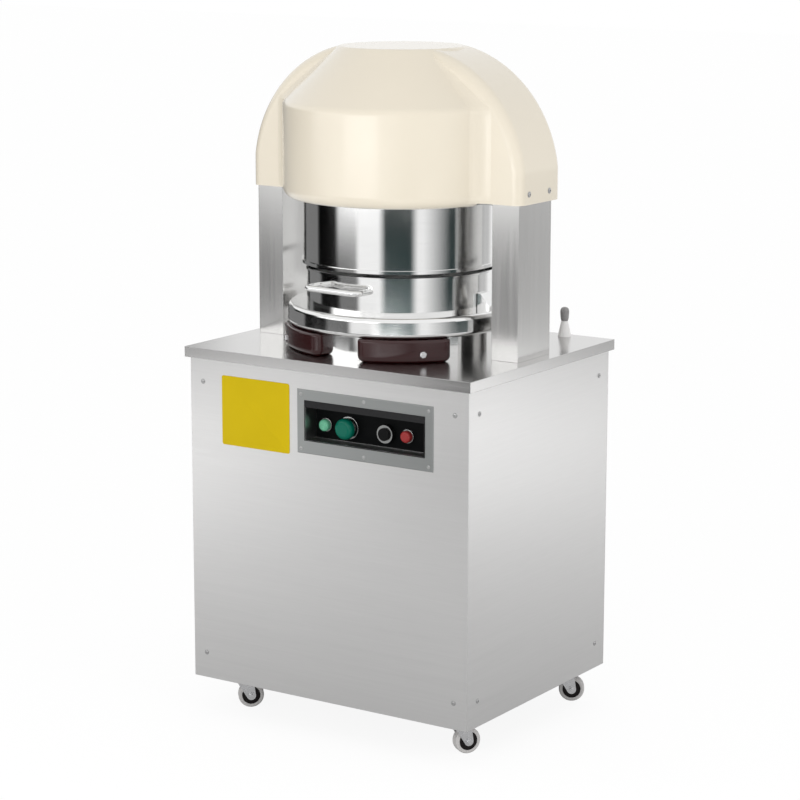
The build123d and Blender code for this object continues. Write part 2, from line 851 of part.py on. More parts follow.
def drive_bed():
    """Plate on the frame's side rails that carries the drive."""
    reach = frame_half_w
    return block(-reach, reach, shaft_y - bed_front, shaft_y + bed_back, bed_top - bed_thickness, bed_top)


def reducer():
    """Worm reducer housing on the drive bed, with the shaft through it."""
    half = reducer_width / 2
    deep = reducer_depth / 2
    case = block(-half, half, shaft_y - deep, shaft_y + deep, bed_top, shaft_z)
    case += rod_x_axis(reducer_crown, -half, half, shaft_y, shaft_z)
    case = fillet(case.edges().filter_by(Axis.Z), reducer_width / 12)
    return case - rod_x_axis(shaft_radius + running_fit, -half, half, shaft_y, shaft_z)


def gear_motor():
    """Flange motor on the reducer's front face, with cooling fins and a fan cowl."""
    y1 = shaft_y - reducer_depth / 2
    y0 = y1 - motor_length
    z = shaft_z - motor_drop
    fin_gap = motor_length / (2 * motor_fins + 3)
    core = rod_y(motor_radius - fin_gap / 2, y0, y1, 0, z)
    for k in range(motor_fins):
        start = y1 - fin_gap * (2 * k + 2)
        core += rod_y(motor_radius, start, start + fin_gap, 0, z)
    core += rod_y(motor_radius, y0, y0 + 2 * fin_gap, 0, z)
    return core


save(drive_shaft(), "drive_shaft")
for side, s in sides.items():
    save(pinion(s), f"{side}_pinion")
save(shaft_bearings(), "shaft_bearings")
save(drive_bed(), "drive_bed")
save(reducer(), "reducer")
save(gear_motor(), "gear_motor")


# Controls

def control_box():
    """Sheet box behind the front panel that the buttons and lamps are set in."""
    w = recess_width / 2 + box_margin
    t = recess_tall / 2 + box_margin
    box = block(recess_x - w, recess_x + w, panel_inside, box_back, recess_z - t, recess_z + t)
    inner_w = w - panel_sheet
    inner_t = t - panel_sheet
    box -= block(recess_x - inner_w, recess_x + inner_w, panel_inside, plate_back,
                 recess_z - inner_t, recess_z + inner_t)
    return box - button_holes(plate_back, box_back)


def button_holes(y0, y1):
    """Holes of both push buttons between two depths."""
    return Part() + [
        rod_y(radius + button_fit, y0, y1, recess_x + x, control_z)
        for x, radius in ((start_button_x, start_stem_radius), (stop_button_x, stop_cap_radius))
    ]


def control_plate():
    """Dark plate at the back of the recess that carries the buttons and lamps."""
    w = recess_width / 2 + box_margin - panel_sheet - control_plate_gap
    t = recess_tall / 2 + box_margin - panel_sheet - control_plate_gap
    plate = block(recess_x - w, recess_x + w, plate_face, plate_back, recess_z - t, recess_z + t)
    return plate - button_holes(plate_face, plate_back)


def control_bezel():
    """Frame plate round the recess on the face of the front panel."""
    w = bezel_width / 2
    z = recess_z + bezel_lift
    t = bezel_tall / 2
    plate = block(recess_x - w, recess_x + w, panel_front - bezel_sheet, panel_front, z - t, z + t)
    front = plate.faces().sort_by(Axis.Y)[0]
    plate = chamfer(front.edges(), bezel_bevel)
    return plate - recess_cut(panel_front - bezel_sheet, panel_front)


def button_collars():
    """Fixed collars of the two push buttons."""
    face = plate_face
    start = rod_y(start_collar_radius, face - start_collar_length, face, recess_x + start_button_x, control_z)
    start -= rod_y(start_stem_radius + button_fit, face - start_collar_length, face, recess_x + start_button_x, control_z)
    stop = rod_y(stop_collar_radius, face - stop_collar_length, face, recess_x + stop_button_x, control_z)
    stop -= rod_y(stop_cap_radius + button_fit, face - stop_collar_length, face, recess_x + stop_button_x, control_z)
    return Compound(children=[start, stop])


def start_button():
    """Mushroom push button with a domed head."""
    face = plate_face - start_collar_length - button_travel - button_gap
    head = rod_y(start_head_radius, face - start_head_length, face, recess_x + start_button_x, control_z)
    front = head.edges().filter_by(GeomType.CIRCLE).sort_by(Axis.Y)[0]
    head = fillet(front, start_head_length * 0.7)
    return head + rod_y(start_stem_radius, face, box_back, recess_x + start_button_x, control_z)


def stop_button():
    """Push button with a flat cap, a little proud of its collar."""
    face = plate_face - stop_collar_length
    cap = rod_y(stop_cap_radius, face - stop_proud, box_back, recess_x + stop_button_x, control_z)
    front = cap.edges().filter_by(GeomType.CIRCLE).sort_by(Axis.Y)[0]
    return fillet(front, stop_proud / 4)


def lamp(x):
    """Round signal lamp with a domed lens."""
    face = plate_face
    lens = rod_y(lamp_radius, face - lamp_length, face, recess_x + x, control_z)
    front = lens.edges().filter_by(GeomType.CIRCLE).sort_by(Axis.Y)[0]
    return fillet(front, lamp_length / 3)


def switch_blocks():
    """Contact blocks behind the control box, hollow where a button's stem comes through."""
    half = switch_block / 2
    blocks = []
    for x in (green_lamp_x, start_button_x, stop_button_x, red_lamp_x):
        cx = recess_x + x
        body = block(cx - half, cx + half, box_back, box_back + switch_block_length, control_z - half, control_z + half)
        body -= rod_y(stop_cap_radius + 1, box_back, box_back + 2 * button_travel, cx, control_z)
        blocks.append(body)
    return Compound(children=blocks)


save(control_box(), "control_box")
save(control_plate(), "control_plate")
save(control_bezel(), "control_bezel")
save(button_collars(), "button_collars")
save(start_button(), "start_button")
save(stop_button(), "stop_button")
save(lamp(green_lamp_x), "green_lamp")
save(lamp(red_lamp_x), "red_lamp")
save(switch_blocks(), "switch_blocks")


# Small fittings

def cable_grommet():
    """Rubber grommet through the rear cover, with an open bore for the supply cable."""
    outer = fillet(rod(grommet_radius, 0, grommet_outside).edges().filter_by(GeomType.CIRCLE).sort_by(Axis.Z)[-1],
                   grommet_outside * 0.6)
    body = outer + rod(grommet_neck, -panel_sheet, 0)
    body += rod(grommet_radius, -panel_sheet - grommet_inside, -panel_sheet)
    body -= rod(grommet_bore, -panel_sheet - grommet_inside, grommet_outside)
    return Pos(grommet_x, half_d, caster_height + grommet_height) * Rot(-90, 0, 0) * body


def knob_base():
    """Coned foot of the small knob with its stud."""
    top = table_top_z + knob_base_height
    cone = Pos(knob_x, knob_y, table_top_z + knob_base_height / 2) * Cone(
        knob_base_radius, knob_base_top_radius, knob_base_height)
    return cone + rod(knob_stud_radius, top, top + knob_stud_length, knob_x, knob_y)


def table_knob():
    """Egg-shaped knob that turns on the stud."""
    low = table_top_z + knob_base_height + swivel_gap
    high = low + knob_length
    side = Spline((knob_base_top_radius, low), (knob_radius, low + knob_length * 0.42), (0, high),
                  tangents=[(0.4, 1), (-1, 0)])
    outline = Plane.XZ * make_face(Curve() + [
        Line((0, low), (knob_base_top_radius, low)),
        side,
        Line((0, high), (0, low)),
    ])
    egg = revolve(outline, Axis.Z)
    bore_top = low + knob_stud_length
    egg -= rod(knob_stud_radius + running_fit, low, bore_top)
    return Pos(knob_x, knob_y, 0) * egg


save(cable_grommet(), "cable_grommet")
save(knob_base(), "knob_base")
save(table_knob(), "table_knob")


# Casters

def caster_places():
    """Name, swivel axis and trail angle of each caster."""
    for name, angle in trail_angles.items():
        front, side = name.split("_")
        x = caster_x if side == "right" else -caster_x
        y = -caster_y if front == "front" else caster_y
        yield name, Pos(x, y, 0) * Rot(0, 0, angle)


def caster_mounts():
    """Top plates with kingpins, one under each corner of the frame."""
    plates = []
    low = caster_height - caster_plate_thickness
    half = caster_plate / 2
    for name, place in caster_places():
        centre = Pos(place.position)
        plate = block(-half, half, -half, half, low, caster_height)
        plates.append(centre * (plate + rod(kingpin_radius, low - kingpin_length, low)))
    return Compound(children=plates)


def caster_fork():
    """Swivel fork: a bearing cap and two tapered legs that trail to the axle."""
    top = caster_height - caster_plate_thickness - swivel_gap
    low = top - swivel_thickness
    inner = wheel_width / 2 + hub_gap
    outer = inner + fork_leg
    cap = rod(swivel_radius, low, top)
    shoulder = block(0, caster_trail, -outer, outer, low, low + fork_leg)
    fork = cap + shoulder
    foot = Pos(caster_trail, wheel_radius) * Circle(fork_foot_radius)
    root = Pos(fork_root_half / 2, low + fork_leg) * Rectangle(2 * fork_root_half, 2 * fork_leg)
    leg_face = make_hull((foot + root).edges())
    for side in (-1, 1):
        start = inner if side > 0 else -outer
        fork += Pos(0, start + fork_leg, 0) * extrude(Plane.XZ * leg_face, fork_leg)
    fork -= rod(kingpin_radius + running_fit, low, top)
    return fork - rod_y(axle_radius, -outer, outer, caster_trail, wheel_radius)


def caster_axle():
    """Headed axle through the fork's legs."""
    outer = wheel_width / 2 + hub_gap + fork_leg
    pin = rod_y(axle_radius, -outer, outer, caster_trail, wheel_radius)
    pin += rod_y(axle_head_radius, -outer - axle_head, -outer, caster_trail, wheel_radius)
    return pin + rod_y(axle_head_radius, outer, outer + axle_head, caster_trail, wheel_radius)


def caster_wheel():
    """Wheel with a rounded tread and recessed hub faces."""
    half = wheel_width / 2
    wheel = rod_y(wheel_radius, -half, half, caster_trail, wheel_radius)
    wheel = fillet(wheel.edges().filter_by(GeomType.CIRCLE), wheel_round)
    ring = hub_radius + wheel_round
    for side in (-1, 1):
        face = side * half
        depth = side * (half - hub_recess)
        pocket = rod_y(ring, min(face, depth), max(face, depth), caster_trail, wheel_radius)
        wheel -= pocket - rod_y(axle_head_radius + 1, min(face, depth), max(face, depth), caster_trail, wheel_radius)
    return wheel - rod_y(axle_radius + running_fit, -half, half, caster_trail, wheel_radius)


save(caster_mounts(), "caster_mounts")
for name, place in caster_places():
    save(place * caster_fork(), f"caster_fork_{name}")
    save(place * caster_axle(), f"caster_axle_{name}")
    save(place * caster_wheel(), f"caster_wheel_{name}")
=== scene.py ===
"""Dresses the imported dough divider: finishes on every piece, small fittings, studio and camera."""

from __future__ import annotations

import json
import logging
import math
from dataclasses import dataclass, field
from enum import Enum
from itertools import product

import bmesh
import bpy
from mathutils import Matrix, Vector

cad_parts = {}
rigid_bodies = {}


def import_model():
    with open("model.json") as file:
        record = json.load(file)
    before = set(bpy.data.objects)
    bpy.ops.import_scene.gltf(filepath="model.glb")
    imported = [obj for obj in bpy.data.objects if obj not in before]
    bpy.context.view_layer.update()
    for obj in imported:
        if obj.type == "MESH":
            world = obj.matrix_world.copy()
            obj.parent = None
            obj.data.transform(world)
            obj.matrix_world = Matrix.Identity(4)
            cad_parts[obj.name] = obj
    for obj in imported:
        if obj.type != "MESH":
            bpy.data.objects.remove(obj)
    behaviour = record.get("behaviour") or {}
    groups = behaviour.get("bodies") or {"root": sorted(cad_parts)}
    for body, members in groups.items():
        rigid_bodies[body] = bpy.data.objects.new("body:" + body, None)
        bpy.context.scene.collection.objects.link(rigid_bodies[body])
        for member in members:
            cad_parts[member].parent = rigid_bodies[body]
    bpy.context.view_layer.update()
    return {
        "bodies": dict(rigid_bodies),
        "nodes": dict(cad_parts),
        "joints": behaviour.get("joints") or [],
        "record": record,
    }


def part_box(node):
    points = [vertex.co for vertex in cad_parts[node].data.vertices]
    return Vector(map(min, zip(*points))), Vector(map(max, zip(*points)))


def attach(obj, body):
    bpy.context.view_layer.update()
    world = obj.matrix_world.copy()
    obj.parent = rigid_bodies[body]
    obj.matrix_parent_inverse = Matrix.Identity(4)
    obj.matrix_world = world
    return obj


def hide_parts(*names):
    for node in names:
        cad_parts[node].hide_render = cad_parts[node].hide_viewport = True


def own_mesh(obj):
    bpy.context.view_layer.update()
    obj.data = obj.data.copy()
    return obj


LOG = logging.getLogger("dough_divider")
Colour = tuple[float, float, float]
Point = tuple[float, float, float]
Pair = tuple[float, float]
Socket = bpy.types.NodeSocket

MERGE = 1e-6
SHARP = math.radians(32.0)
BEVEL_SAMPLES = 4
NOISE_ROUGHNESS = 0.55
RAMP_SPAN: Pair = (0.3, 0.7)
SIDES = (-1, 1)


class Grain(Enum):
    """Direction in which a sheet was brushed, as the scale of its pattern along each axis."""

    ALONG_X = (0.02, 1.0, 1.0)
    ALONG_Y = (1.0, 0.02, 1.0)
    ALONG_Z = (1.0, 1.0, 0.02)


class Facing(Enum):
    """Outward direction of a face that a fitting sits on."""

    FRONT = (0.0, -1.0, 0.0)
    BACK = (0.0, 1.0, 0.0)
    LEFT = (-1.0, 0.0, 0.0)
    RIGHT = (1.0, 0.0, 0.0)
    DOWN = (0.0, 0.0, -1.0)


class Caster(Enum):
    """The four casters, by their corner."""

    FRONT_LEFT = "front_left"
    FRONT_RIGHT = "front_right"
    REAR_LEFT = "rear_left"
    REAR_RIGHT = "rear_right"


def seat(direction: Point, place: Point) -> Matrix:
    """Matrix that stands a shape drawn on the XY plane on a face, +Z along the face's direction."""
    turn = Vector((0.0, 0.0, 1.0)).rotation_difference(Vector(direction))
    return Matrix.Translation(Vector(place)) @ turn.to_matrix().to_4x4()


def around(azimuth: float, radius: float, height: float) -> Vector:
    """Point round the machine's axis, at an azimuth in degrees from the front towards +X."""
    turn = math.radians(azimuth)
    return Vector((math.sin(turn) * radius, -math.cos(turn) * radius, height))


def shade(colour: Colour, factor: float) -> Colour:
    """Scales a linear colour and holds it within 0 to 1."""
    return tuple(min(1.0, max(0.0, c * factor)) for c in colour)


def drifted(colour: Colour, drift: float) -> tuple[Colour, Colour]:
    """Gives a darker and a lighter version of a colour, each a share away from it."""
    return shade(colour, 1.0 - drift), shade(colour, 1.0 + drift)


class Weave:
    """Node tree of one material, with short calls for the nodes used here."""

    def __init__(self, name: str) -> None:
        """Starts a material with a Principled shader.

        Args:
            name: Name of the material.
        """
        self.material = bpy.data.materials.new(name)
        self.material.use_nodes = True
        self.tree = self.material.node_tree
        self.shader = self.tree.nodes["Principled BSDF"]
        self.surface = self.tree.nodes["Material Output"].inputs["Surface"]

    def node(self, kind: str, **settings: object) -> bpy.types.Node:
        """Adds a node and sets its properties.

        Args:
            kind: Blender's node type.
            **settings: Node properties by name.

        Returns:
            The new node.
        """
        made = self.tree.nodes.new(kind)
        for key, value in settings.items():
            setattr(made, key, value)
        return made

    def link(self, start: Socket, end: Socket) -> None:
        """Joins an output socket to an input socket."""
        self.tree.links.new(start, end)

    def feed(self, start: Socket, name: str) -> None:
        """Joins an output socket to the shader's input of that name."""
        self.link(start, self.shader.inputs[name])

    def place(self, scale: Point = (1.0, 1.0, 1.0)) -> Socket:
        """Gives scaled Object coordinates.

        Args:
            scale: Scale along each axis.

        Returns:
            The vector socket.
        """
        coords = self.node("ShaderNodeTexCoord")
        mapping = self.node("ShaderNodeMapping")
        mapping.inputs["Scale"].default_value = scale
        self.link(coords.outputs["Object"], mapping.inputs["Vector"])
        return mapping.outputs["Vector"]

    def noise(self, vector: Socket, scale: float, detail: float = 3.0) -> Socket:
        """Gives a noise value.

        Args:
            vector: Coordinates.
            scale: Noise scale.
            detail: Octaves.

        Returns:
            The factor socket.
        """
        made = self.node("ShaderNodeTexNoise")
        made.inputs["Scale"].default_value = scale
        made.inputs["Detail"].default_value = detail
        made.inputs["Roughness"].default_value = NOISE_ROUGHNESS
        self.link(vector, made.inputs["Vector"])
        return made.outputs["Fac"]

    def spread(self, value: Socket, ends: Pair, span: Pair = RAMP_SPAN) -> Socket:
        """Maps a value to a range.

        Args:
            value: Factor socket.
            ends: Results at the two ends of the span.
            span: Values that give them.

        Returns:
            The mapped socket.
        """
        made = self.node("ShaderNodeMapRange")
        made.inputs["From Min"].default_value, made.inputs["From Max"].default_value = span
        made.inputs["To Min"].default_value, made.inputs["To Max"].default_value = ends
        self.link(value, made.inputs["Value"])
        return made.outputs["Result"]

    def tint(self, value: Socket, low: Colour, high: Colour) -> Socket:
        """Turns a noise value into a colour.

        Args:
            value: Factor socket.
            low: Colour of the low values.
            high: Colour of the high values.

        Returns:
            The colour socket.
        """
        ramp = self.node("ShaderNodeValToRGB")
        for element, spot, colour in zip(ramp.color_ramp.elements, RAMP_SPAN, (low, high)):
            element.position = spot
            element.color = (*colour, 1.0)
        self.link(value, ramp.inputs["Fac"])
        return ramp.outputs["Color"]

    def mix(self, factor: Socket, first: Socket, second: Socket) -> Socket:
        """Blends two colours by a factor.

        Args:
            factor: Share of the second colour.
            first: Colour socket.
            second: Colour socket.

        Returns:
            The colour socket.
        """
        made = self.node("ShaderNodeMix", data_type="RGBA")
        self.link(factor, made.inputs[0])
        self.link(first, made.inputs[6])
        self.link(second, made.inputs[7])
        return made.outputs[2]

    def relief(self, height: Socket, strength: float, distance: float, edge: float = 0.0) -> None:
        """Bumps the shader's normal and softens sharp edges.

        Args:
            height: Height socket.
            strength: Strength of the bump.
            distance: Depth in metres.
            edge: Radius in metres that sharp edges are shaded with.
        """
        bump = self.node("ShaderNodeBump")
        bump.inputs["Strength"].default_value = strength
        bump.inputs["Distance"].default_value = distance
        self.link(height, bump.inputs["Height"])
        if edge > 0.0:
            soft = self.node("ShaderNodeBevel", samples=BEVEL_SAMPLES)
            soft.inputs["Radius"].default_value = edge
            self.link(soft.outputs["Normal"], bump.inputs["Normal"])
        self.feed(bump.outputs["Normal"], "Normal")

    def set(self, **values: object) -> None:
        """Sets shader sockets by name, with underscores for spaces."""
        for key, value in values.items():
            self.shader.inputs[key.replace("_", " ")].default_value = value


@dataclass(frozen=True)
class BrushedSteel:
    """Stainless sheet with fine brushing and a soft cloud of handling."""

    name: str
    colour: Colour
    grain: Grain
    rough: Pair = (0.31, 0.35)
    contrast: float = 0.018
    fineness: float = 1100.0
    streak_share: float = 8.0
    cloud: float = 4.0
    worn: Pair = (0.97, 0.99)
    wear: Pair = (0.2, 0.7)
    strength: float = 0.02
    depth: float = 0.0001
    edge: float = 0.0012

    def make(self) -> bpy.types.Material:
        """Builds the material.

        Returns:
            The material.
        """
        weave = Weave(self.name)
        weave.set(Metallic=1.0)
        lines = weave.noise(weave.place(self.grain.value), self.fineness, 2.0)
        streaks = weave.noise(weave.place(self.grain.value), self.fineness / self.streak_share, 3.0)
        cloud = weave.noise(weave.place(), self.cloud)
        fine = weave.tint(lines, *drifted(self.colour, self.contrast))
        dark, light = self.worn
        worn = weave.tint(
            streaks, shade(self.colour, dark - self.contrast), shade(self.colour, light + self.contrast))
        weave.feed(weave.mix(weave.spread(cloud, self.wear), fine, worn), "Base Color")
        weave.feed(weave.spread(streaks, self.rough), "Roughness")
        weave.relief(lines, self.strength, self.depth, self.edge)
        return weave.material


@dataclass(frozen=True)
class PolishedSteel:
    """Polished stainless with faint turning marks and smudges."""

    name: str
    colour: Colour
    rough: Pair = (0.07, 0.13)
    turning: Point = (0.03, 0.03, 1.0)
    turning_scale: float = 700.0
    smudge: Point = (1.0, 1.0, 0.6)
    smudge_scale: float = 14.0
    tones: Pair = (0.97, 1.02)
    strength: float = 0.015
    depth: float = 0.0001

    def make(self) -> bpy.types.Material:
        """Builds the material.

        Returns:
            The material.
        """
        weave = Weave(self.name)
        weave.set(Metallic=1.0)
        rings = weave.noise(weave.place(self.turning), self.turning_scale, 2.0)
        smudge = weave.noise(weave.place(self.smudge), self.smudge_scale, 4.0)
        weave.feed(weave.tint(rings, *(shade(self.colour, tone) for tone in self.tones)), "Base Color")
        weave.feed(weave.spread(smudge, self.rough), "Roughness")
        weave.relief(rings, self.strength, self.depth)
        return weave.material


@dataclass(frozen=True)
class Moulded:
    """Moulded or sprayed skin: one colour with a soft drift, a fine ripple and a coat."""

    name: str
    colour: Colour
    rough: Pair = (0.28, 0.36)
    coat: float = 0.0
    coat_rough: float = 0.12
    specular: float = 0.5
    drift: float = 0.05
    cloud: float = 6.0
    ripple: float = 260.0
    depth: float = 0.0002
    strength: float = 0.05

    def make(self) -> bpy.types.Material:
        """Builds the material.

        Returns:
            The material.
        """
        weave = Weave(self.name)
        weave.set(Coat_Weight=self.coat, Coat_Roughness=self.coat_rough, Specular_IOR_Level=self.specular)
        cloud = weave.noise(weave.place(), self.cloud)
        ripple = weave.noise(weave.place(), self.ripple, 2.0)
        weave.feed(weave.tint(cloud, *drifted(self.colour, self.drift)), "Base Color")
        weave.feed(weave.spread(ripple, self.rough), "Roughness")
        weave.relief(ripple, self.strength, self.depth)
        return weave.material


@dataclass(frozen=True)
class Machined:
    """Machined, plated or cast metal with a speckle in its tone."""

    name: str
    colour: Colour
    rough: Pair = (0.32, 0.48)
    speckle: float = 180.0
    drift: float = 0.10
    depth: float = 0.0002
    strength: float = 0.06

    def make(self) -> bpy.types.Material:
        """Builds the material.

        Returns:
            The material.
        """
        weave = Weave(self.name)
        weave.set(Metallic=1.0)
        grit = weave.noise(weave.place(), self.speckle, 5.0)
        weave.feed(weave.tint(grit, *drifted(self.colour, self.drift)), "Base Color")
        weave.feed(weave.spread(grit, self.rough), "Roughness")
        weave.relief(grit, self.strength, self.depth)
        return weave.material


@dataclass(frozen=True)
class Lens:
    """Coloured lamp lens, a little lit from inside."""

    name: str
    colour: Colour
    glow: float
    rough: Pair = (0.14, 0.24)
    coat: float = 0.15
    coat_rough: float = 0.05
    specular: float = 0.25
    ribs: float = 420.0
    tones: Pair = (0.85, 1.1)
    depth: float = 0.0002
    strength: float = 0.08

    def make(self) -> bpy.types.Material:
        """Builds the material.

        Returns:
            The material.
        """
        weave = Weave(self.name)
        weave.set(Coat_Weight=self.coat, Coat_Roughness=self.coat_rough, Specular_IOR_Level=self.specular)
        weave.set(Emission_Color=(*self.colour, 1.0), Emission_Strength=self.glow)
        ribs = weave.noise(weave.place(), self.ribs, 1.0)
        weave.feed(weave.tint(ribs, *(shade(self.colour, tone) for tone in self.tones)), "Base Color")
        weave.feed(weave.spread(ribs, self.rough), "Roughness")
        weave.relief(ribs, self.strength, self.depth)
        return weave.material


class Finishes:
    """All finishes, made once."""

    def __init__(self) -> None:
        """Builds every material of the machine."""
        steel = (0.76, 0.755, 0.75)
        bright = (0.84, 0.84, 0.835)
        self.front_sheet = BrushedSteel("front_sheet", steel, Grain.ALONG_X).make()
        self.side_sheet = BrushedSteel("side_sheet", steel, Grain.ALONG_Y).make()
        self.table_sheet = BrushedSteel(
            "table_sheet", (0.60, 0.595, 0.59), Grain.ALONG_X, (0.19, 0.22)).make()
        self.column_sheet = BrushedSteel(
            "column_sheet", (0.70, 0.695, 0.685), Grain.ALONG_Z, (0.19, 0.23), contrast=0.014).make()
        self.bezel_sheet = BrushedSteel(
            "bezel_sheet", (0.355, 0.367, 0.363), Grain.ALONG_X, (0.28, 0.36)).make()
        self.recess_sheet = BrushedSteel(
            "recess_sheet", (0.50, 0.50, 0.50), Grain.ALONG_X, (0.28, 0.36)).make()
        self.polished = PolishedSteel("polished_steel", bright).make()
        self.drum = PolishedSteel("drum_steel", bright, (0.09, 0.13)).make()
        self.ground_rod = PolishedSteel("ground_rod", (0.62, 0.62, 0.62), (0.12, 0.2)).make()
        self.chrome = PolishedSteel("bright_chrome", (0.30, 0.305, 0.30), (0.16, 0.24)).make()
        self.plain_steel = Machined("machined_steel", (0.42, 0.42, 0.42)).make()
        self.bronze = Machined("turned_bronze", (0.46, 0.28, 0.10), (0.25, 0.4)).make()
        self.casting = Machined(
            "grey_casting", (0.13, 0.13, 0.135), (0.5, 0.7), speckle=220.0, drift=0.25, depth=0.0008).make()
        self.aluminium = Machined(
            "press_aluminium", (0.66, 0.66, 0.66), (0.3, 0.42), speckle=240.0, drift=0.06).make()
        self.zinc = Machined("zinc_plate", (0.70, 0.70, 0.71), (0.2, 0.34), speckle=160.0, drift=0.06).make()
        self.screw_zinc = Machined(
            "screw_zinc", (0.52, 0.52, 0.52), (0.25, 0.4), speckle=400.0, drift=0.08).make()
        self.cream = Moulded(
            "cream_hood", (0.86, 0.785, 0.645), (0.30, 0.36), coat=1.0, coat_rough=0.2, specular=0.4,
            drift=0.012, ripple=45.0, strength=0.03).make()
        self.maroon = Moulded(
            "maroon_enamel", (0.030, 0.0042, 0.0048), (0.17, 0.24), coat=0.3, specular=0.4, drift=0.15,
            ripple=120.0).make()
        self.frame_paint = Moulded("frame_paint", (0.09, 0.095, 0.10), (0.45, 0.6), drift=0.15).make()
        self.drive_paint = Moulded(
            "drive_paint", (0.10, 0.15, 0.20), (0.35, 0.5), coat=0.1, drift=0.12, ripple=120.0).make()
        self.black_box = Moulded(
            "black_box", (0.0025, 0.003, 0.0032), (0.4, 0.55), specular=0.06, drift=0.2).make()
        self.black_gloss = Moulded(
            "black_button", (0.003, 0.003, 0.0034), (0.18, 0.26), specular=0.12, drift=0.2).make()
        self.green_gloss = Moulded(
            "green_button", (0.0, 0.125, 0.082), (0.16, 0.24), coat=0.15, specular=0.12, drift=0.08).make()
        self.green_lens = Lens("green_lens", (0.13, 0.44, 0.27), glow=0.12).make()
        self.red_lens = Lens("red_lens", (0.33, 0.028, 0.028), glow=0.06).make()
        self.yellow = Moulded(
            "yellow_plate", (0.62, 0.455, 0.002), (0.5, 0.6), specular=0.1, drift=0.04).make()
        # Dark finish of the sheet that paints the shade round the control opening.
        self.painted_shade_sheet = Moulded(
            "painted_shade_black", (0.016, 0.016, 0.017), (0.5, 0.65), specular=0.2, drift=0.2).make()
        self.rubber = Moulded(
            "black_rubber", (0.018, 0.018, 0.019), (0.55, 0.75), specular=0.4, drift=0.2).make()
        self.tread = Moulded(
            "wheel_tread", (0.60, 0.585, 0.575), (0.40, 0.55), specular=0.4, drift=0.08, ripple=180.0,
            depth=0.0004, strength=0.1).make()
        self.hub_dark = Moulded(
            "hub_dark", (0.010, 0.008, 0.008), (0.25, 0.4), specular=0.15, drift=0.2).make()
        self.pale = Moulded("pale_plastic", (0.95, 0.94, 0.93), (0.30, 0.42), drift=0.03).make()
        self.dark_knob = Moulded(
            "dark_knob", (0.30, 0.292, 0.292), (0.18, 0.3), coat=0.3, drift=0.15).make()


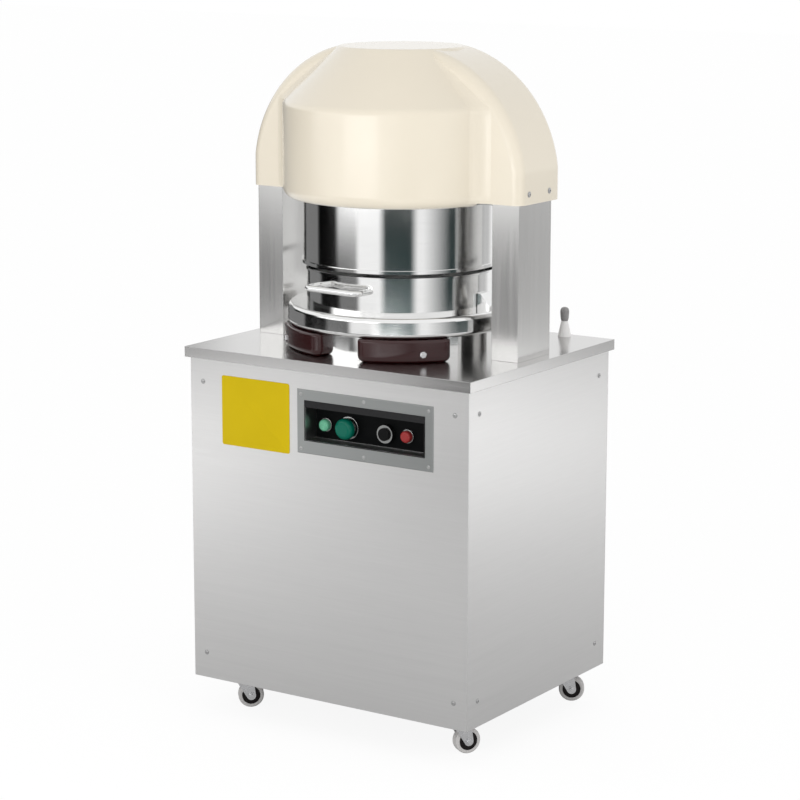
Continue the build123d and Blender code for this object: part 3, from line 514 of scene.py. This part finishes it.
class Bench:
    """Makes meshes with bmesh operators and hands them over as pieces."""

    CORNER_STEPS = 6
    EDGE_STEPS = 2
    SCREW_STEPS = 24
    RING_STEPS = 40
    HEXAGON_SIDES = 6

    def __init__(self, finishes: Finishes, frame: dict) -> None:
        """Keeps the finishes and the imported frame.

        Args:
            finishes: All materials.
        """
        self.finishes = finishes
        self.nodes: dict[str, bpy.types.Object] = frame["nodes"]
        self.joints = {joint["name"]: joint for joint in frame["record"]["behaviour"]["joints"]}

    def dress(self, material: bpy.types.Material, *names: str) -> None:
        """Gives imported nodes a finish.

        Args:
            material: Material to assign.
            *names: Node names.
        """
        for name in names:
            mesh = self.nodes[name].data
            mesh.materials.clear()
            mesh.materials.append(material)
            LOG.info("dressed %s with %s", name, material.name)

    def hand_over(
        self, bm: bmesh.types.BMesh, name: str, body: str, material: bpy.types.Material, slot: str,
    ) -> bpy.types.Object:
        """Turns a bmesh into a finished piece.

        Args:
            bm: Shape in place, freed here.
            name: Piece name.
            body: Body it rides on.
            material: Its finish.
            slot: Slot of the record that the finish belongs to; not used.

        Returns:
            The piece.
        """
        bmesh.ops.remove_doubles(bm, verts=bm.verts, dist=MERGE)
        bmesh.ops.recalc_face_normals(bm, faces=bm.faces)
        mesh = bpy.data.meshes.new(name)
        bm.to_mesh(mesh)
        bm.free()
        mesh.shade_smooth()
        mesh.set_sharp_from_angle(angle=SHARP)
        mesh.materials.append(material)
        made = bpy.data.objects.new(name, mesh)
        bpy.context.scene.collection.objects.link(made)
        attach(made, body)
        LOG.info("made %s on %s", name, body)
        return made

    @staticmethod
    def turned(bm: bmesh.types.BMesh, profile: list[Pair], frame: Matrix, steps: int) -> None:
        """Spins an open profile about +Z and puts it in a frame.

        Args:
            bm: Target mesh.
            profile: Radius and height points from one pole or rim to the other.
            frame: Where the shape goes.
            steps: Segments of the turn.
        """
        before = set(bm.verts)
        verts = [bm.verts.new((r, 0.0, z)) for r, z in profile]
        edges = [bm.edges.new(pair) for pair in zip(verts, verts[1:])]
        bmesh.ops.spin(
            bm, geom=verts + edges, cent=(0, 0, 0), axis=(0, 0, 1), angle=math.tau, steps=steps,
            use_merge=True)
        fresh = [v for v in bm.verts if v not in before]
        bmesh.ops.transform(bm, matrix=frame, verts=fresh)
        bmesh.ops.remove_doubles(bm, verts=fresh, dist=MERGE)

    @staticmethod
    def rounded(
        bm: bmesh.types.BMesh, edges: list[bmesh.types.BMEdge], radius: float, segments: int,
    ) -> set[bmesh.types.BMVert]:
        """Rounds edges by a radius and gives the vertices of the rounding."""
        return set(bmesh.ops.bevel(
            bm, geom=edges, offset=radius, offset_type="OFFSET", segments=segments, profile=0.5,
            affect="EDGES", material=-1)["verts"])

    def plate(self, bm: bmesh.types.BMesh, size: Point, frame: Matrix, corner: float, edge: float) -> None:
        """A flat plate with rounded corners and a softened face edge.

        Args:
            bm: Target mesh.
            size: Width, height and thickness.
            frame: Centre of its back face, +Z outwards.
            corner: Corner radius.
            edge: Bevel of the outer face.
        """
        made = bmesh.ops.create_cube(bm, size=1.0)["verts"]
        lift = Matrix.Translation((0.0, 0.0, size[2] / 2))
        bmesh.ops.transform(bm, matrix=lift @ Matrix.Diagonal((*size, 1.0)), verts=made)
        edges = {e for v in made for e in v.link_edges}
        upright = [e for e in edges if abs(e.verts[0].co.z - e.verts[1].co.z) > size[2] / 2]
        grown = self.rounded(bm, upright, corner, self.CORNER_STEPS)
        verts = {v for v in made if v.is_valid} | grown
        edges = {e for v in verts for e in v.link_edges}
        rim = [e for e in edges if len(e.link_faces) == 2 and all(v.co.z > size[2] / 2 for v in e.verts)]
        grown = self.rounded(bm, rim, edge, self.EDGE_STEPS)
        verts = {v for v in verts if v.is_valid} | grown
        bmesh.ops.transform(bm, matrix=frame, verts=list(verts))

    def screw(self, bm: bmesh.types.BMesh, frame: Matrix, radius: float, height: float) -> None:
        """A domed screw head with a socket and a thin washer.

        Args:
            bm: Target mesh.
            frame: Centre of the seat, +Z outwards.
            radius: Head radius.
            height: Head height.
        """
        wash = radius * 1.4
        rim = height * 0.25
        self.turned(bm, [
            (0.0, height * 0.45), (radius * 0.42, height * 0.45), (radius * 0.46, height),
            (radius * 0.7, height * 0.93), (radius * 0.92, height * 0.72), (radius, height * 0.45),
            (radius, rim), (wash * 0.96, rim), (wash, rim * 0.6), (wash, 0.0), (0.0, 0.0),
        ], frame, self.SCREW_STEPS)

    def ring(self, bm: bmesh.types.BMesh, frame: Matrix, inner: float, outer: float, height: float) -> None:
        """A ring with rounded outer edges.

        Args:
            bm: Target mesh.
            frame: Centre of the seat, +Z outwards.
            inner: Bore radius.
            outer: Outer radius.
            height: Height.
        """
        soft = min(height, outer - inner) * 0.3
        self.turned(bm, [
            (inner, 0.0), (outer, 0.0), (outer, height - soft), (outer - soft * 0.3, height - soft * 0.3),
            (outer - soft, height), (inner + soft * 0.3, height), (inner, height - soft * 0.3), (inner, 0.0),
        ], frame, self.RING_STEPS)

    def hexagon(self, bm: bmesh.types.BMesh, frame: Matrix, radius: float, height: float) -> None:
        """A hexagon head with a chamfered top, by its corner radius."""
        profile = [(0.0, height), (radius * 0.86, height), (radius, height * 0.82), (radius, 0.0), (0.0, 0.0)]
        self.turned(bm, profile, frame, self.HEXAGON_SIDES)


@dataclass
class Cabinet:
    """Sheet covers, table, frame and the fittings on them."""

    bench: Bench
    screw_radius: float = 0.0036
    screw_height: float = 0.0020
    edge_inset: float = 0.029
    side_inset: float = 0.036
    high_drop: float = 0.045
    low_rise: float = 0.050
    plate_size: Point = (0.157, 0.133, 0.0008)
    plate_place: Pair = (-0.1595, 0.6055)
    plate_corner: float = 0.004
    plate_edge: float = 0.0003

    def build(self) -> None:
        """Dresses the covers and adds screws and the bare yellow plate."""
        f = self.bench.finishes
        self.bench.dress(f.front_sheet, "front_panel", "back_panel")
        self.bench.dress(f.side_sheet, "left_panel", "right_panel")
        self.bench.dress(f.table_sheet, "table_top")
        self.bench.dress(f.frame_paint, "base_frame", "drive_bed")
        self.bench.dress(f.rubber, "cable_grommet")
        self.screws()
        self.yellow_plate()

    def screws(self) -> None:
        """Cover screws near the corners of each side."""
        low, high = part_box("front_panel")
        levels = (low[2] + self.low_rise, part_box("table_top")[0][2] - self.high_drop)
        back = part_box("back_panel")[1][1]
        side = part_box("right_panel")[1][0]
        across = high[0] - self.edge_inset
        along = back - self.side_inset
        corners = [(s, z) for s in SIDES for z in levels]
        spots = {
            "front_cover_screws": (Facing.FRONT, [(s * across, low[1], z) for s, z in corners]),
            "rear_cover_screws": (Facing.BACK, [(s * across, back, z) for s, z in corners]),
            "right_cover_screws": (Facing.RIGHT, [(side, s * along, z) for s, z in corners]),
            "left_cover_screws": (Facing.LEFT, [(-side, s * along, z) for s, z in corners]),
        }
        for name, (facing, places) in spots.items():
            bm = bmesh.new()
            for place in places:
                self.bench.screw(bm, seat(facing.value, place), self.screw_radius, self.screw_height)
            self.bench.hand_over(bm, name, "cabinet", self.bench.finishes.screw_zinc, "zinc_steel")

    def yellow_plate(self) -> None:
        """Bare yellow plate on the front, left of the controls."""
        x, z = self.plate_place
        frame = seat(Facing.FRONT.value, (x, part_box("front_panel")[0][1], z))
        bm = bmesh.new()
        self.bench.plate(bm, self.plate_size, frame, self.plate_corner, self.plate_edge)
        self.bench.hand_over(bm, "yellow_plate", "cabinet", self.bench.finishes.yellow, "brushed_panel")


@dataclass
class Controls:
    """Recess with lamps and push buttons."""

    bench: Bench
    screw_radius: float = 0.0026
    screw_height: float = 0.0015
    screw_inset: float = 0.009
    lamp_gap: float = 0.0001
    lamp_ring: float = 0.0020
    lamp_ring_height: float = 0.0035
    start_ring_inner: float = 0.0152
    start_ring: float = 0.0215
    start_ring_height: float = 0.0030
    opening_side: float = 0.0185
    opening_low: float = 0.026
    opening_high: float = 0.033
    # A dark sheet paints the shade round the opening, widest under the bezel's top.
    shade_sheet_rim: float = 0.0015
    shade_sheet_top: float = 0.0130
    shade_sheet_thickness: float = 0.0008

    def build(self) -> None:
        """Dresses the control pieces and adds rings, screws and a dark sheet of painted shade."""
        f = self.bench.finishes
        self.bench.dress(f.bezel_sheet, "control_bezel")
        self.bench.dress(f.recess_sheet, "control_box")
        self.bench.dress(f.black_box, "control_plate", "switch_blocks")
        self.bench.dress(f.chrome, "button_collars")
        self.bench.dress(f.green_gloss, "start_button")
        self.bench.dress(f.black_gloss, "stop_button")
        self.bench.dress(f.green_lens, "green_lamp")
        self.bench.dress(f.red_lens, "red_lamp")
        self.rings()
        self.screws()
        self.painted_shade_sheet()

    def centre(self, name: str) -> Point:
        """Point on the dark plate's face, on the axis of a button or lamp."""
        low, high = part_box(name)
        return (low[0] + high[0]) / 2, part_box("control_plate")[0][1], (low[2] + high[2]) / 2

    def rings(self) -> None:
        """Bright rings round the two lamps and under the mushroom button."""
        finish = self.bench.finishes.chrome
        for name in ("green_lamp", "red_lamp"):
            low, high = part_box(name)
            radius = (high[0] - low[0]) / 2
            frame = seat(Facing.FRONT.value, self.centre(name))
            bm = bmesh.new()
            self.bench.ring(
                bm, frame, radius + self.lamp_gap, radius + self.lamp_ring, self.lamp_ring_height)
            self.bench.hand_over(bm, f"{name}_ring", "cabinet", finish, "chrome_ring")
        frame = seat(Facing.FRONT.value, self.centre("start_button"))
        bm = bmesh.new()
        self.bench.ring(bm, frame, self.start_ring_inner, self.start_ring, self.start_ring_height)
        self.bench.hand_over(bm, "start_button_ring", "cabinet", finish, "chrome_ring")

    def screws(self) -> None:
        """Small screws at the bezel's corners and the middle of its long sides."""
        low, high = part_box("control_bezel")
        inset = self.screw_inset
        bm = bmesh.new()
        for x in (low[0] + inset, (low[0] + high[0]) / 2, high[0] - inset):
            for z in (low[2] + inset, high[2] - inset):
                frame = seat(Facing.FRONT.value, (x, low[1], z))
                self.bench.screw(bm, frame, self.screw_radius, self.screw_height)
        self.bench.hand_over(bm, "bezel_screws", "cabinet", self.bench.finishes.screw_zinc, "zinc_steel")

    def painted_shade_sheet(self) -> None:
        """Flat dark sheet on the bezel that paints the shade round the opening, deepest above it."""
        low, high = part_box("control_bezel")
        face = low[1]
        left, right = low[0] + self.opening_side, high[0] - self.opening_side
        foot, head = low[2] + self.opening_low, high[2] - self.opening_high
        across = (left - self.shade_sheet_rim, left, right, right + self.shade_sheet_rim)
        up = (foot - self.shade_sheet_rim, foot, head, head + self.shade_sheet_top)
        cells = len(across) - 1
        half = cells / 2
        bm = bmesh.new()
        grid = bmesh.ops.create_grid(bm, x_segments=cells, y_segments=cells, size=half)["verts"]
        for vert in grid:
            vert.co = (across[round(vert.co.x + half)], face, up[round(vert.co.y + half)])
        centres = {f: f.calc_center_median() for f in bm.faces}
        opening = [f for f, c in centres.items() if left < c.x < right and foot < c.z < head]
        bmesh.ops.delete(bm, geom=opening, context="FACES")
        grown = bmesh.ops.extrude_face_region(bm, geom=bm.faces[:])["geom"]
        lifted = [v for v in grown if isinstance(v, bmesh.types.BMVert)]
        bmesh.ops.translate(bm, vec=(0.0, -self.shade_sheet_thickness, 0.0), verts=lifted)
        self.bench.hand_over(bm, "recess_painted_shade", "cabinet", self.bench.finishes.painted_shade_sheet, "black_box")


@dataclass
class Head:
    """Columns, hood, drum, knives and press."""

    bench: Bench
    ear_screw: float = 0.0040
    ear_screw_height: float = 0.0024
    ear_inset: float = 0.021
    ear_rise: float = 0.027
    spring_radius: float = 0.011
    spring_wire: float = 0.0014
    spring_turns: int = 7
    spring_steps: int = 24
    wire_sides: int = 10

    def build(self) -> None:
        """Dresses the head and adds the hood's screws and the press's springs."""
        f = self.bench.finishes
        self.bench.dress(f.column_sheet, "left_column", "right_column")
        self.bench.dress(f.cream, "hood")
        self.bench.dress(f.drum, "knife_housing")
        self.bench.dress(f.plain_steel, "head_plate", "knife_carrier", "knife_grid", "rod_nuts")
        self.bench.dress(f.bronze, "guide_bushes")
        self.bench.dress(f.casting, "crosshead")
        self.bench.dress(f.ground_rod, "left_pull_rod", "right_pull_rod", "knife_posts")
        self.bench.dress(f.aluminium, "press_block")
        self.hood_screws()
        self.press_coils()

    def press_coils(self) -> None:
        """Coil springs round the posts, in place of the imported springs, which are hidden."""
        low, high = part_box("press_springs")
        length = high[2] - low[2]
        reach = high[0] - self.spring_radius
        steps = self.spring_turns * self.spring_steps
        rise = (length - 2.0 * self.spring_wire) / steps
        upright = Matrix.Rotation(math.radians(90.0), 4, "X")
        start = Matrix.Translation((self.spring_radius - self.spring_wire, 0.0, low[2] + self.spring_wire))
        bm = bmesh.new()
        for sx, sy in product(SIDES, SIDES):
            before = set(bm.verts)
            wire = bmesh.ops.create_circle(
                bm, cap_ends=False, radius=self.spring_wire, segments=self.wire_sides)["verts"]
            bmesh.ops.transform(bm, matrix=start @ upright, verts=wire)
            round_edges = list({e for v in wire for e in v.link_edges})
            bmesh.ops.spin(
                bm, geom=wire + round_edges, cent=(0, 0, 0), axis=(0, 0, 1), dvec=(0.0, 0.0, rise),
                angle=math.tau * self.spring_turns, steps=steps)
            fresh = [v for v in bm.verts if v not in before]
            bmesh.ops.translate(bm, vec=(sx * reach, sy * reach, 0.0), verts=fresh)
        bmesh.ops.holes_fill(bm, edges=bm.edges[:], sides=self.wire_sides)
        coils = self.bench.hand_over(bm, "press_coils", "head", self.bench.finishes.ground_rod, "plain_steel")
        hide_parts("press_springs")
        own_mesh(coils)

    def hood_screws(self) -> None:
        """Two screws in each ear of the hood, on its bosses."""
        low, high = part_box("hood")
        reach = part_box("right_column")[1][1] - self.ear_inset
        bm = bmesh.new()
        for facing, x in ((Facing.LEFT, low[0]), (Facing.RIGHT, high[0])):
            for s in SIDES:
                frame = seat(facing.value, (x, s * reach, low[2] + self.ear_rise))
                self.bench.screw(bm, frame, self.ear_screw, self.ear_screw_height)
        self.bench.hand_over(bm, "hood_screws", "cabinet", self.bench.finishes.screw_zinc, "zinc_steel")


@dataclass
class PanSet:
    """Pan, handles, base disc and the cast blocks round it."""

    bench: Bench
    bolt_radius: float = 0.0065
    bolt_height: float = 0.004
    bolt_angle: float = 44.0
    bolt_rise: float = 0.017
    bolt_sink: float = 0.0005
    block_radius: float = 0.222

    def build(self) -> None:
        """Dresses the pan and base and adds the block bolts."""
        f = self.bench.finishes
        self.bench.dress(f.polished, "pan_base", "front_pan_handle", "rear_pan_handle", "pan_guides")
        self.bench.dress(f.drum, "pan_ring")
        self.bench.dress(f.aluminium, "pan_plate")
        self.bench.dress(f.maroon, "seat_blocks")
        self.bench.dress(f.pale, "knob_base")
        self.bench.dress(f.dark_knob, "table_knob")
        self.block_bolts()

    def block_bolts(self) -> None:
        """A bright bolt in the outer face of each cast block."""
        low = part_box("seat_blocks")[0]
        bm = bmesh.new()
        turn = self.bolt_angle
        for azimuth in (turn, -turn, 180.0 + turn, 180.0 - turn):
            place = around(azimuth, self.block_radius - self.bolt_sink, low[2] + self.bolt_rise)
            frame = seat(around(azimuth, 1.0, 0.0), place)
            self.bench.hexagon(bm, frame, self.bolt_radius, self.bolt_height)
        self.bench.hand_over(bm, "block_bolts", "cabinet", self.bench.finishes.zinc, "zinc_steel")


@dataclass
class Drive:
    """Motor, reducer, shaft and bearings in the cabinet."""

    bench: Bench

    def build(self) -> None:
        """Dresses the drive."""
        f = self.bench.finishes
        self.bench.dress(f.plain_steel, "drive_shaft", "left_pinion", "right_pinion")
        self.bench.dress(f.casting, "shaft_bearings")
        self.bench.dress(f.drive_paint, "reducer", "gear_motor")


@dataclass
class Casters:
    """Four swivel casters."""

    bench: Bench
    ring_inner: float = 0.0078
    ring_outer: float = 0.0177
    ring_height: float = 0.0014
    ring_seat: float = 0.0080
    nut_radius: float = 0.0052
    nut_height: float = 0.0022
    nut_seat: float = 0.0155
    bolt_radius: float = 0.0040
    bolt_height: float = 0.0026
    bolt_inset: float = 0.023
    plate_thickness: float = 0.003

    def build(self) -> None:
        """Dresses forks, axles and wheels and adds hub rings, nuts and plate bolts."""
        f = self.bench.finishes
        self.bench.dress(f.zinc, "caster_mounts")
        for caster in Caster:
            name = caster.value
            self.bench.dress(f.zinc, f"caster_fork_{name}", f"caster_axle_{name}")
            self.bench.dress(f.tread, f"caster_wheel_{name}")
            self.hub(name)
        self.plate_bolts()

    def hub(self, name: str) -> None:
        """Dark rings in both faces of a wheel and nuts on its axle.

        Args:
            name: Corner of the caster.
        """
        joint = self.bench.joints[f"roll_{name}"]
        centre = Vector(joint["pos_m"])
        rings = bmesh.new()
        nuts = bmesh.new()
        for s in SIDES:
            out = Vector(joint["axis"]).normalized() * s
            ring_frame = seat(out, centre + out * self.ring_seat)
            nut_frame = seat(out, centre + out * self.nut_seat)
            self.bench.ring(rings, ring_frame, self.ring_inner, self.ring_outer, self.ring_height)
            self.bench.hexagon(nuts, nut_frame, self.nut_radius, self.nut_height)
        finishes = self.bench.finishes
        self.bench.hand_over(rings, f"hub_rings_{name}", f"wheel_{name}", finishes.hub_dark, "dark_plastic")
        self.bench.hand_over(nuts, f"axle_nuts_{name}", f"caster_{name}", finishes.zinc, "zinc_steel")

    def plate_bolts(self) -> None:
        """Four bolts through each caster plate."""
        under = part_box("caster_mounts")[1][2] - self.plate_thickness
        bm = bmesh.new()
        for caster in Caster:
            x, y, _ = self.bench.joints[f"swivel_{caster.value}"]["pos_m"]
            for sx, sy in product(SIDES, SIDES):
                place = (x + sx * self.bolt_inset, y + sy * self.bolt_inset, under)
                self.bench.hexagon(bm, seat(Facing.DOWN.value, place), self.bolt_radius, self.bolt_height)
        finish = self.bench.finishes.screw_zinc
        self.bench.hand_over(bm, "caster_plate_bolts", "cabinet", finish, "zinc_steel")


@dataclass(frozen=True)
class Card:
    """Curved upright card that only reflections see, with a tone at its foot and its top and soft ends."""

    name: str
    radius: float
    azimuths: Pair
    levels: Pair
    tones: Pair
    fades: Pair
    hue: Colour = (1.0, 1.0, 1.0)


@dataclass(frozen=True)
class Lamp:
    """Soft rectangular lamp round the machine's axis, which can leave out nodes that it would burn out."""

    name: str
    azimuth: float
    radius: float
    height: float
    size: Pair
    power: float
    aim: float
    glossy: bool = True
    spares: tuple[str, ...] = ()


@dataclass
class Studio:
    """Floor, world, lamps, reflected cards and the camera."""

    nodes: dict[str, bpy.types.Object]
    eye: Point = (2.6933, -4.0555, 1.6029)
    forward: Point = (-0.5424, 0.8159, -0.2002)
    roll: float = 0.0014
    lens: float = 116.4
    sensor: float = 36.0
    world_fill: float = 0.76
    floor_half: float = 20.0
    floor_rough: float = 0.9
    floor_white: float = 0.92
    floor_seen: float = 0.88
    floor_tone: float = 1.03
    floor_mirrored: float = 0.90
    # Painted shade in reflections: the mirrored floor glows from the first tone near the machine to the
    # second further out.
    floor_mirror_shade_tones: Pair = (0.50, 1.0)
    floor_mirror_shade_reach: Pair = (0.4, 3.4)
    card_steps: int = 12
    cards: list[Card] = field(default_factory=lambda: [
        Card("left_side_card", 2.34, (-135.0, -70.0), (0.30, 1.40), (0.20, 0.20), (6.0, 4.0)),
        Card("left_black_card", 2.30, (-79.0, -41.0), (0.26, 0.80), (0.001, 0.001), (5.0, 6.0)),
        Card("left_high_card", 2.30, (-100.0, -54.0), (0.80, 1.40), (0.001, 0.001), (5.0, 6.0)),
        Card("left_grey_card", 2.32, (-50.0, -15.0), (0.34, 0.58), (0.15, 0.17), (4.0, 5.0)),
        Card("left_pale_card", 2.32, (-50.0, -15.0), (0.58, 0.71), (0.17, 0.84), (4.0, 5.0)),
        Card("left_top_card", 2.32, (-46.0, -15.0), (0.71, 0.84), (0.84, 2.8), (16.0, 4.0)),
        Card("left_sky_card", 2.32, (-54.0, -14.0), (1.00, 1.36), (2.1, 2.1), (5.0, 5.0)),
        Card("front_white_card", 2.36, (-22.0, 30.0), (0.37, 0.74), (1.0, 1.0), (2.0, 2.0)),
        Card("camera_low_card", 2.3, (8.0, 52.0), (0.36, 0.56), (0.28, 0.05), (8.0, 8.0), (0.75, 1.0, 1.0)),
        Card("camera_high_card", 2.3, (8.0, 52.0), (0.56, 0.80), (0.05, 0.01), (8.0, 8.0), (0.6, 1.0, 1.0)),
        Card("right_dark_card", 2.3, (58.0, 113.0), (0.36, 0.84), (0.05, 0.02), (32.0, 5.0), (0.6, 1.0, 1.0)),
        Card("right_grey_card", 2.32, (108.0, 140.0), (0.42, 0.84), (0.16, 0.16), (4.0, 4.0)),
        Card("right_pale_card", 2.34, (134.0, 160.0), (0.30, 0.84), (0.58, 0.58), (4.0, 8.0)),
        Card("left_low_card", 2.2, (-64.0, -31.0), (0.01, 0.31), (1.7, 1.7), (4.0, 4.0)),
        Card("right_low_card", 2.2, (102.0, 147.0), (0.01, 0.35), (1.7, 1.7), (4.0, 12.0)),
        Card("front_dim_card", 2.2, (-26.0, 5.0), (0.01, 0.37), (0.12, 0.12), (3.0, 4.0)),
        Card("front_low_card", 2.2, (4.0, 42.0), (0.30, 0.38), (4.0, 4.0), (8.0, 14.0)),
    ])
    lamps: list[Lamp] = field(default_factory=lambda: [
        Lamp("key_strip", -4.0, 2.4, 0.92, (1.35, 0.24), 3.4, 0.92, spares=("left_column", "right_column")),
        Lamp("key_softbox", 14.0, 2.4, 1.0, (1.2, 1.2), 9.0, 0.9, False),
        Lamp("right_softbox", 75.0, 2.8, 1.3, (1.2, 1.4), 7.0, 0.8, False),
    ])

    def build(self) -> None:
        """Sets up the whole studio."""
        self.world()
        self.floor()
        for card in self.cards:
            self.card(card)
        for lamp in self.lamps:
            self.lamp(lamp)
        self.camera()
        bpy.context.scene.view_settings.view_transform = "Standard"

    def world(self) -> None:
        """White to the eye and in reflections, a softer fill for light."""
        world = bpy.data.worlds.new("studio_world")
        bpy.context.scene.world = world
        world.use_nodes = True
        tree = world.node_tree
        back = tree.nodes["Background"]
        back.inputs["Color"].default_value = (1.0, 1.0, 1.0, 1.0)
        path = tree.nodes.new("ShaderNodeLightPath")
        level = tree.nodes.new("ShaderNodeMapRange")
        level.inputs["To Min"].default_value = self.world_fill
        level.inputs["To Max"].default_value = 1.0
        seen = path.outputs["Is Camera Ray"]
        for kind in ("Is Glossy Ray", "Is Transmission Ray"):
            either = tree.nodes.new("ShaderNodeMath")
            either.operation = "MAXIMUM"
            tree.links.new(seen, either.inputs[0])
            tree.links.new(path.outputs[kind], either.inputs[1])
            seen = either.outputs[0]
        tree.links.new(seen, level.inputs["Value"])
        tree.links.new(level.outputs["Result"], back.inputs["Strength"])

    def floor(self) -> None:
        """Pale floor that keeps a soft shadow and is mirrored darker than seen, a painted shade near the
        machine.
        """
        bm = bmesh.new()
        bmesh.ops.create_grid(bm, x_segments=1, y_segments=1, size=self.floor_half)
        weave = Weave("floor_white")
        weave.set(Base_Color=(*[self.floor_white] * 3, 1.0), Roughness=self.floor_rough)
        path = weave.node("ShaderNodeLightPath")
        # Painted shade: the mirrored floor's glow grows with the distance from the machine's axis.
        far = weave.node("ShaderNodeVectorMath", operation="LENGTH")
        weave.link(weave.place(), far.inputs[0])
        mirrored = weave.node("ShaderNodeEmission")
        weave.link(
            weave.spread(far.outputs["Value"], self.floor_mirror_shade_tones, self.floor_mirror_shade_reach),
            mirrored.inputs["Strength"])
        seen = weave.node("ShaderNodeEmission")
        seen.inputs["Strength"].default_value = self.floor_tone
        base = weave.shader.outputs[0]
        for kind, share, glow in (
            ("Is Glossy Ray", self.floor_mirrored, mirrored),
            ("Is Camera Ray", self.floor_seen, seen),
        ):
            part = weave.node("ShaderNodeMath", operation="MULTIPLY")
            part.inputs[1].default_value = share
            blend = weave.node("ShaderNodeMixShader")
            weave.link(path.outputs[kind], part.inputs[0])
            weave.link(part.outputs[0], blend.inputs[0])
            weave.link(base, blend.inputs[1])
            weave.link(glow.outputs[0], blend.inputs[2])
            base = blend.outputs[0]
        weave.link(base, weave.surface)
        self.set_down(bm, "studio_floor", weave.material)

    def set_down(self, bm: bmesh.types.BMesh, name: str, material: bpy.types.Material) -> bpy.types.Object:
        """Turns a bmesh into a piece of the stage.

        Args:
            bm: Shape in place, freed here.
            name: Object name.
            material: Its material.

        Returns:
            The new object.
        """
        mesh = bpy.data.meshes.new(name)
        bm.to_mesh(mesh)
        bm.free()
        mesh.materials.append(material)
        made = bpy.data.objects.new(name, mesh)
        bpy.context.scene.collection.objects.link(made)
        return made

    def card(self, card: Card) -> None:
        """Puts up a card that only reflections see.

        Args:
            card: What to put up.
        """
        start, end = card.azimuths
        low = around(start, card.radius, card.levels[0])
        high = around(start, card.radius, card.levels[1])
        bm = bmesh.new()
        ends = [bm.verts.new(low), bm.verts.new(high)]
        upright = bm.edges.new(ends)
        bmesh.ops.spin(
            bm, geom=[*ends, upright], cent=(0, 0, 0), axis=(0, 0, 1), angle=math.radians(end - start),
            steps=self.card_steps)
        weave = Weave(card.name)
        parts = weave.node("ShaderNodeSeparateXYZ")
        weave.link(weave.place(), parts.inputs[0])
        front = weave.node("ShaderNodeMath", operation="MULTIPLY")
        front.inputs[1].default_value = -1.0
        weave.link(parts.outputs["Y"], front.inputs[0])
        turn = weave.node("ShaderNodeMath", operation="ARCTAN2")
        weave.link(parts.outputs["X"], turn.inputs[0])
        weave.link(front.outputs[0], turn.inputs[1])
        whole = weave.node("ShaderNodeMath", operation="MINIMUM")
        for socket, edge, step in zip(whole.inputs, (start, end), (card.fades[0], -card.fades[1])):
            span = (math.radians(edge), math.radians(edge + step))
            weave.link(weave.spread(turn.outputs[0], (0.0, 1.0), span), socket)
        glow = weave.node("ShaderNodeEmission")
        glow.inputs["Color"].default_value = (*card.hue, 1.0)
        weave.link(weave.spread(parts.outputs["Z"], card.tones, card.levels), glow.inputs["Strength"])
        blend = weave.node("ShaderNodeMixShader")
        weave.link(whole.outputs[0], blend.inputs[0])
        weave.link(weave.node("ShaderNodeBsdfTransparent").outputs[0], blend.inputs[1])
        weave.link(glow.outputs[0], blend.inputs[2])
        weave.link(blend.outputs[0], weave.surface)
        made = self.set_down(bm, card.name, weave.material)
        made.visible_camera = False
        made.visible_diffuse = False
        made.visible_shadow = False
        made.visible_transmission = False
        made.visible_volume_scatter = False

    def lamp(self, lamp: Lamp) -> None:
        """Sets up a lamp.

        Args:
            lamp: What to set up.
        """
        data = bpy.data.lights.new(lamp.name, "AREA")
        data.shape = "RECTANGLE"
        data.size, data.size_y = lamp.size
        data.energy = lamp.power
        made = bpy.data.objects.new(lamp.name, data)
        made.location = around(lamp.azimuth, lamp.radius, lamp.height)
        look = Vector((0.0, 0.0, lamp.aim)) - made.location
        made.rotation_euler = look.to_track_quat("-Z", "Y").to_euler()
        made.visible_glossy = lamp.glossy
        bpy.context.scene.collection.objects.link(made)
        if lamp.spares:
            spared = bpy.data.collections.new(f"{lamp.name}_spares")
            for name in lamp.spares:
                spared.objects.link(self.nodes[name])
            for member in spared.collection_objects:
                member.light_linking.link_state = "EXCLUDE"
            made.light_linking.receiver_collection = spared

    def camera(self) -> None:
        """Camera at the photograph's viewing angle."""
        data = bpy.data.cameras.new("photo_camera")
        data.sensor_width = self.sensor
        data.sensor_fit = "HORIZONTAL"
        data.lens = self.lens
        made = bpy.data.objects.new("photo_camera", data)
        made.location = self.eye
        look = Vector(self.forward).to_track_quat("-Z", "Y")
        made.rotation_euler = (look.to_matrix() @ Matrix.Rotation(self.roll, 3, "Z")).to_euler()
        bpy.context.scene.collection.objects.link(made)
        bpy.context.scene.camera = made


def main() -> None:
    """Loads the frame, dresses it and sets up the studio."""
    logging.basicConfig(level=logging.INFO, format="%(message)s")
    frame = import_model()
    bench = Bench(Finishes(), frame)
    for assembly in (Cabinet, Controls, Head, PanSet, Drive, Casters):
        assembly(bench).build()
    Studio(bench.nodes).build()


if __name__ == "__main__":
    main()
